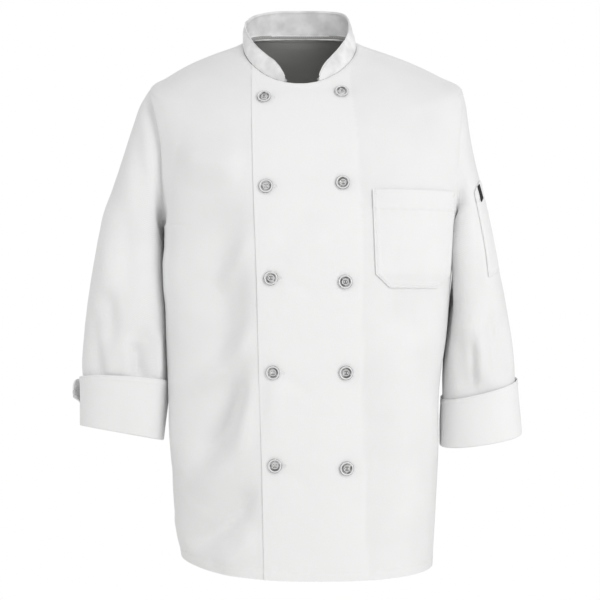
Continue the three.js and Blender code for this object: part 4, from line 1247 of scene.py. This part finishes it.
def thread_material():
    """Spun polyester sewing thread: white, with the twist of its plies."""
    material, tree = new_material("Spun polyester thread")
    place = add_node(tree, "ShaderNodeTexCoord")
    twist = add_node(
        tree, "ShaderNodeTexNoise", inputs={"Vector": place.outputs["Object"], "Scale": 1 / (0.5 * MM)}
    )
    base = add_node(
        tree, "ShaderNodeMix", {"data_type": "RGBA"},
        {0: twist.outputs["Fac"], 6: colour("#e8e8e8"), 7: colour("#fafafa")},
    )
    shader = add_node(
        tree, "ShaderNodeBsdfPrincipled",
        inputs={"Base Color": base.outputs[2], "Roughness": 0.7, "Sheen Weight": 0.2},
    )
    surface_output(tree, shader)
    return material


def tape_material(name, light, shade):
    """Woven polyester tape: close cross ribs, 0.8 mm apart, that catch a little light."""
    material, tree = new_material(name)
    uv = add_node(tree, "ShaderNodeUVMap", {"uv_map": "cloth"})
    ribs = add_node(
        tree, "ShaderNodeTexWave", {"wave_type": "BANDS", "bands_direction": "Y"},
        {"Vector": uv.outputs["UV"], "Scale": 2 * math.pi / (20 * 0.8 * MM)},
    )
    base = add_node(
        tree, "ShaderNodeMix", {"data_type": "RGBA"},
        {0: ribs.outputs["Fac"], 6: colour(shade), 7: colour(light)},
    )
    bump = add_node(
        tree, "ShaderNodeBump",
        inputs={"Strength": 0.5, "Distance": 0.15 * MM, "Height": ribs.outputs["Fac"]},
    )
    shader = add_node(
        tree, "ShaderNodeBsdfPrincipled",
        inputs={"Base Color": base.outputs[2], "Roughness": 0.75, "Normal": bump.outputs["Normal"]},
    )
    surface_output(tree, shader)
    return material


def floor_material():
    """Matt painted studio floor: pale, with a barely uneven coat."""
    material, tree = new_material("Matt studio paint")
    place = add_node(tree, "ShaderNodeTexCoord")
    coat = add_node(tree, "ShaderNodeTexNoise", inputs={"Vector": place.outputs["Object"], "Scale": 3.0})
    base = add_node(
        tree, "ShaderNodeMix", {"data_type": "RGBA"},
        {0: coat.outputs["Fac"], 6: colour("#e9e9e7"), 7: colour("#f2f2f0")},
    )
    shader = add_node(
        tree, "ShaderNodeBsdfPrincipled", inputs={"Base Color": base.outputs[2], "Roughness": 0.9}
    )
    surface_output(tree, shader)
    return material


# Buttons


def button_profile():
    """Half section of a button, from the middle of its back round the rim to the middle of its face."""
    r, h = BUTTON_RADIUS, BUTTON_HEIGHT
    return [
        (0, 0), (r * 0.72, 0), (r * 0.9, h * 0.12), (r * 0.985, h * 0.38), (r, h * 0.6),
        (r * 0.975, h * 0.84), (r * 0.91, h * 0.97), (r * 0.84, h), (r * 0.77, h * 0.94),
        (r * 0.7, h * 0.74), (r * 0.63, h * 0.46), (r * 0.57, h * 0.36), (r * 0.51, h * 0.4),
        (r * 0.46, h * 0.6), (r * 0.42, h * 0.68), (r * 0.36, h * 0.62), (r * 0.2, h * 0.52), (0, h * 0.5),
    ]


BUTTON_SIDES = 56
HOLE_RADIUS = 0.95
HOLE_AWAY = 1.75  # from the middle, along both directions


def lathe(name, profile, sides):
    """A closed turned shape about +Z."""
    vertices, faces = [], []
    inner = profile[1:-1]
    for n in range(sides):
        a = 2 * math.pi * n / sides
        vertices += [(r * math.cos(a), r * math.sin(a), z) for r, z in inner]
    vertices += [(0, 0, profile[0][1]), (0, 0, profile[-1][1])]
    count = len(inner)
    back, face = len(vertices) - 2, len(vertices) - 1
    for n in range(sides):
        here, there = n * count, ((n + 1) % sides) * count
        faces += [(here + k, there + k, there + k + 1, here + k + 1) for k in range(count - 1)]
        faces.append((back, there, here))
        faces.append((here + count - 1, there + count - 1, face))
    mesh = bpy.data.meshes.new(name)
    mesh.from_pydata(vertices, [], faces)
    piece = bpy.data.objects.new(name, mesh)
    bpy.context.collection.objects.link(piece)
    return piece


def button_mesh(material):
    """One button about the origin, its face towards +Z, with four holes through it."""
    blank = lathe("button blank", button_profile(), BUTTON_SIDES)
    drills = []
    for sx in (-1, 1):
        for sy in (-1, 1):
            drill = lathe("drill", [(0, -1), (HOLE_RADIUS, -1), (HOLE_RADIUS, 6), (0, 6)], 16)
            drill.data.transform(Matrix.Translation((sx * HOLE_AWAY, sy * HOLE_AWAY, 0)))
            cut = blank.modifiers.new("hole", "BOOLEAN")
            cut.object = drill
            cut.solver = "EXACT"
            drills.append(drill)
    made_plain(blank)
    for drill in drills:
        bpy.data.objects.remove(drill)
    mesh = blank.data
    bpy.data.objects.remove(blank)
    mesh.materials.clear()
    mesh.materials.append(material)
    mesh.polygons.foreach_set("use_smooth", np.ones(len(mesh.polygons), bool))
    mesh.set_sharp_from_angle(angle=math.radians(50))
    reach = [math.hypot(v.co.x, v.co.y) / BUTTON_RADIUS for v in mesh.vertices]
    mesh.attributes.new("from_middle", "FLOAT", "POINT").data.foreach_set("value", reach)
    return mesh


def button_place(surface, x, height):
    """The transform that sets a button on the cloth: its face outward, its holes level."""
    point, normal = from_front(surface, x, height)
    face = Vector(normal)
    side = Vector((1, 0, 0)) - face * face.x
    side.normalize()
    up = face.cross(side)
    place = Matrix((side, up, face)).transposed().to_4x4()
    place.translation = Vector(point) + face * BUTTON_GAP
    return Matrix.Scale(MM, 4) @ place


def thread_bars():
    """Points of two strands bars over a button's holes, about the button's origin."""
    floor_level = BUTTON_HEIGHT * 0.58
    bars = []
    for side in (-1, 1):
        for strand in (-0.32, 0, 0.32):
            t = np.linspace(0, 1, 9)
            y = mix(-HOLE_AWAY, HOLE_AWAY, t)
            z = floor_level - 1.2 + 2.0 * np.sin(np.pi * np.clip(t, 0, 1)) ** 0.45
            x = np.full_like(t, side * HOLE_AWAY + strand)
            bars.append(np.stack([x, y, z], axis=1))
    return bars


def tube(points, radius, sides=6):
    """A thin closed tube along points."""
    tangents = unit(np.gradient(points, axis=0))
    reference = np.array([1.0, 0, 0])
    side = unit(np.cross(tangents, reference))
    other = np.cross(tangents, side)
    angle = 2 * np.pi * np.arange(sides) / sides
    rings = points[:, None] + radius * (
        np.cos(angle)[None, :, None] * side[:, None] + np.sin(angle)[None, :, None] * other[:, None]
    )
    count = len(points)
    vertices = rings.reshape(-1, 3)
    faces = []
    for i in range(count - 1):
        for k in range(sides):
            here, there = i * sides + k, i * sides + (k + 1) % sides
            faces.append((here, there, there + sides, here + sides))
    faces.append(tuple(range(sides))[::-1])
    faces.append(tuple((count - 1) * sides + k for k in range(sides)))
    return vertices, faces


def sewn_buttons(front, plastic, thread):
    """Ten buttons and the thread that holds them."""
    surface = surface_of(front)
    blank = button_mesh(plastic)
    vertices, faces = [], []
    for column, places in (("right", RIGHT_BUTTONS), ("left", LEFT_BUTTONS)):
        for row, (x, height) in enumerate(places, 1):
            name = f"button_{column}_{row}"
            place = button_place(surface, x, height)
            mesh = blank.copy()
            mesh.transform(place)
            piece = bpy.data.objects.new(f"{name}_pearl", mesh)
            bpy.context.collection.objects.link(piece)
            finish_piece(piece, (name,))
            for bar in thread_bars():
                bar_vertices, bar_faces = tube(bar, 0.24)
                first = len(vertices)
                vertices += [tuple(place @ Vector(v)) for v in bar_vertices]
                faces += [tuple(first + k for k in face) for face in bar_faces]
    mesh = bpy.data.meshes.new("button_thread")
    mesh.from_pydata(vertices, [], faces)
    mesh.materials.append(thread)
    mesh.polygons.foreach_set("use_smooth", np.ones(len(faces), bool))
    outward(mesh)
    piece = bpy.data.objects.new("button_thread", mesh)
    bpy.context.collection.objects.link(piece)
    finish_piece(piece, ())


def outward(mesh):
    """Turns every closed shell's faces outward."""
    import bmesh

    shells = bmesh.new()
    shells.from_mesh(mesh)
    bmesh.ops.recalc_face_normals(shells, faces=shells.faces)
    shells.to_mesh(mesh)
    shells.free()


def buttonhole_paths(surface):
    """Loops round the slots of the buttonholes, as places on the cloth."""
    paths = []
    for x, height in RIGHT_BUTTONS:
        left, right = x + BUTTONHOLE_FROM, x + BUTTONHOLE_TO
        a = np.linspace(0, 2 * np.pi, 40)
        stretch = np.clip(np.cos(a) * 3, -1, 1)
        loop_x = mix(left, right, (1 + stretch) / 2) + np.cos(a) * 0.6
        loop_z = height + BUTTONHOLE_HALF * np.clip(np.sin(a) * 2, -1, 1)
        paths.append(on_front(surface, loop_x, loop_z))
    return paths


# Assembly


def cloth_pieces(cloth, wrong_side_painted_shade, fused, black):
    """Every cloth piece, and the panels that stitching lies on."""
    panels = SimpleNamespace(
        top=body_panel("top"),
        under=body_panel("under"),
        back=body_panel("back"),
        right=sleeve_panel(RIGHT_SLEEVE, RIGHT_HOLLOW),
        left=sleeve_panel(LEFT_SLEEVE, LEFT_HOLLOW),
        collar=collar_panel(),
        right_cuff=cuff_panel(RIGHT_SLEEVE, RIGHT_CUFF_TOP, RIGHT_SLIT_TURN, SLIT_FLARE),
        left_cuff=cuff_panel(LEFT_SLEEVE, LEFT_CUFF_TOP, LEFT_SLIT_TURN, 0),
        pen=pen_pocket_panel(),
    )
    panels.chest = chest_pocket_panel(panels.top)
    x, z = panels.top.points[..., 0], panels.top.points[..., 2]
    faced = smooth((edge_x(FACING_EDGE, z) - x) / 2.5)
    cuff_wall = CLOTH + END_ROLL * panels.right_cuff.rolled[..., None]
    # Body and sleeve panels take the grey inside material, which is painted shade of the hollow within.
    rows = [
        ("front_left_cloth", panels.top, CLOTH * edge_weight(z)[..., None], wrong_side_painted_shade, "front_left", ["back", "collar"], faced),
        ("front_right_cloth", panels.under, CLOTH, wrong_side_painted_shade, "front_right", ["back", "collar"], 0),
        ("back_cloth", panels.back, CLOTH, wrong_side_painted_shade, "back", ["collar"], 0),
        ("sleeve_right_cloth", panels.right, CLOTH, wrong_side_painted_shade, "sleeve_right", ["front_right", "back"], 0),
        ("sleeve_left_cloth", panels.left, CLOTH, wrong_side_painted_shade, "sleeve_left", ["front_left", "back"], 0),
        ("cuff_right_cloth", panels.right_cuff, cuff_wall, cloth, "cuff_right", ["sleeve_right"], 1),
        ("cuff_left_cloth", panels.left_cuff, CLOTH, cloth, "cuff_left", ["sleeve_left"], 1),
        ("chest_pocket_cloth", panels.chest, POCKET_CLOTH, cloth, "chest_pocket", ["front_left"], 0.3),
        ("sleeve_pocket_cloth", panels.pen, POCKET_CLOTH, cloth, "sleeve_pocket", ["sleeve_left"], 0.3),
    ]
    for name, panel, thickness, inner, node, rests_on, layers in rows:
        cloth_piece(name, panel, thickness, cloth, inner, (node,), layers)
    # The collar takes the clouded twill, whose grey clouds are painted shade, and its tape inside takes the grey
    # inside material as painted shade of the neck's hollow.
    cloth_piece("collar_cloth", panels.collar, collar_wall(panels.collar.up), fused, fused, ("collar",),
                tape=wrong_side_painted_shade)
    lift = PATCH_GAP + POCKET_CLOTH + 0.7 + TAB_CLOTH
    tab = sleeve_patch(LEFT_SLEEVE, TAB, 10, 24, lift)
    cloth_piece("pocket_tab_tape", tab, TAB_CLOTH, black, black, ("pocket_tab",))
    return panels


def collar_wall(up):
    """The collar's thickness at heights above its seam: with the tape inside, without the crease."""
    edge = 0.8 * np.exp(-(((up - NECK_TAPE - 0.7) / 0.7) ** 2))
    tape = TAPE_THICKNESS * (1 - smooth((up - NECK_TAPE) / 0.5)) - edge
    return (COLLAR_CLOTH + tape - COLLAR_CREASE * (1 - smooth(up / 2.6)))[..., None]


def all_stitching(panels, tree, thread):
    """Rows of stitching on hems, edges, pockets, cuffs and collar, and the worked buttonholes."""
    paths = [
        row_of_stitches(panels.top, HEM_DEPTH, inset=2),
        row_of_stitches(panels.under, HEM_DEPTH, inset=2),
        row_of_stitches(panels.back, HEM_DEPTH, inset=2),
        row_of_stitches(panels.top, NECK_STITCH, from_top=True, inset=2),
        row_of_stitches(panels.under, NECK_STITCH, from_top=True, inset=2),
        row_of_stitches(panels.back, NECK_STITCH, from_top=True, inset=2),
        row_of_stitches(panels.collar, EDGE_STITCH, from_top=True, inset=2),
        column_of_stitches(panels.collar, EDGE_STITCH, inset=2),
        column_of_stitches(panels.collar, EDGE_STITCH, from_end=True, inset=2),
        row_of_stitches(panels.right_cuff, EDGE_STITCH, from_top=True, inset=1),
        row_of_stitches(panels.left_cuff, EDGE_STITCH, from_top=True, inset=1),
    ]
    for pocket, hem in ((panels.chest, POCKET_HEM), (panels.pen, PEN_POCKET_HEM)):
        paths += [
            row_of_stitches(pocket, EDGE_STITCH, inset=EDGE_STITCH),
            row_of_stitches(pocket, hem, from_top=True, inset=EDGE_STITCH),
            column_of_stitches(pocket, EDGE_STITCH, inset=EDGE_STITCH),
            column_of_stitches(pocket, EDGE_STITCH, from_end=True, inset=EDGE_STITCH),
        ]
    points, normals = row_of_stitches(panels.collar, NECK_TAPE / 2, inset=2)
    paths.append((points - normals * (COLLAR_CLOTH + TAPE_THICKNESS), -normals))
    sewn("stitching", paths, tree, thread, STITCH_PITCH, STITCH_LENGTH, THREAD_WIDTH)
    holes = buttonhole_paths(surface_of(panels.top))
    sewn("buttonholes", holes, tree, thread, pitch=0.75, length=2.2, width=0.5, turn=math.pi / 2, lift=0.05)
    tacks = [corner_tack(panels.chest, from_end) for from_end in (False, True)]
    sewn("bar_tacks", tacks, tree, thread, pitch=0.75, length=2.0, width=0.5, turn=math.pi / 2, lift=0.1)


# Studio

CAMERA_PLACE = Vector((-8.7, -2600, -368)) * MM
FRAME_HEIGHT = 0.87  # of the view at the middle of the jacket
SENSOR = 36


def add_camera():
    camera = bpy.data.cameras.new("camera")
    camera.sensor_width = SENSOR
    camera.sensor_fit = "HORIZONTAL"
    camera.lens = SENSOR * -CAMERA_PLACE.y / FRAME_HEIGHT
    camera.clip_end = 50
    holder = bpy.data.objects.new("camera", camera)
    holder.location = CAMERA_PLACE
    holder.rotation_euler = (math.pi / 2, 0, 0)
    bpy.context.collection.objects.link(holder)
    bpy.context.scene.camera = holder


def add_light(name, place, aim, size, energy):
    light = bpy.data.lights.new(name, "AREA")
    light.size = size
    light.energy = energy
    holder = bpy.data.objects.new(name, light)
    holder.location = place
    holder.rotation_euler = (Vector(aim) - Vector(place)).to_track_quat("-Z", "Y").to_euler()
    bpy.context.collection.objects.link(holder)


def add_studio():
    """A pale floor well below the jacket, a white surround and soft light from the right and front."""
    bpy.context.scene.view_settings.view_transform = "Standard"
    mesh = bpy.data.meshes.new("floor")
    half, level = 2.3, -1.3
    mesh.from_pydata(
        [(-half, -half, level), (half, -half, level), (half, half, level), (-half, half, level)],
        [], [(0, 1, 2, 3)],
    )
    mesh.materials.append(floor_material())
    floor = bpy.data.objects.new("floor", mesh)
    bpy.context.collection.objects.link(floor)
    world = bpy.data.worlds.new("studio")
    bpy.context.scene.world = world
    world.use_nodes = True
    tree = world.node_tree
    tree.nodes.clear()
    seen = add_node(tree, "ShaderNodeBackground", inputs={"Color": (1, 1, 1, 1), "Strength": 1.0})
    lit = add_node(tree, "ShaderNodeBackground", inputs={"Color": (1, 1, 1, 1), "Strength": 0.6})
    ray = add_node(tree, "ShaderNodeLightPath")
    both = add_node(
        tree, "ShaderNodeMixShader",
        inputs={0: ray.outputs["Is Camera Ray"], 1: lit.outputs[0], 2: seen.outputs[0]},
    )
    add_node(tree, "ShaderNodeOutputWorld", inputs={"Surface": both.outputs["Shader"]})
    middle = (0, 0, -0.35)
    add_light("low front", (1.9, -2.8, 0.1), middle, 1.4, 29)
    add_light("high front", (1.2, -2.6, 2.2), middle, 1.4, 16)
    add_light("right side", (3.2, -0.9, 0.3), middle, 1.4, 5)
    add_light("left side", (-3.1, -0.9, 0.2), middle, 1.4, 14)
    add_light("behind", (0.4, 2.6, 1.4), middle, 2.0, 6)


add_camera()
add_studio()
white_twill = twill("White poly-cotton twill", "#f4f4f4", "#e9e9e9", wale_mm=1.5, rough=0.9)
# The inside of the body and sleeves is painted grey: painted shade of the dark hollow inside the jacket, on cloth
# that is white on both sides.
wrong_side_painted_shade = twill("Wrong side of the twill, painted shade", "#a9a9a7", "#9b9b99", wale_mm=1.5, rough=0.95)
# The collar's cloth is clouded with grey patches and darker than the body's: painted shade of its wrinkles and of
# the neck's hollow.
fused_twill_painted_shade = twill("Fused twill clouded with painted shade", "#f8f8f8", "#d2d2d2", wale_mm=1.5, rough=0.9, cloud_mm=24,
                    clouds=2.2)
black_tape = tape_material("Black woven tape", "#26262a", "#0c0c0e")
thread = thread_material()
panels = cloth_pieces(white_twill, wrong_side_painted_shade, fused_twill_painted_shade, black_tape)
all_stitching(panels, stitch_tree(), thread)
sewn_buttons(panels.top, pearl_plastic_painted_light(), thread)
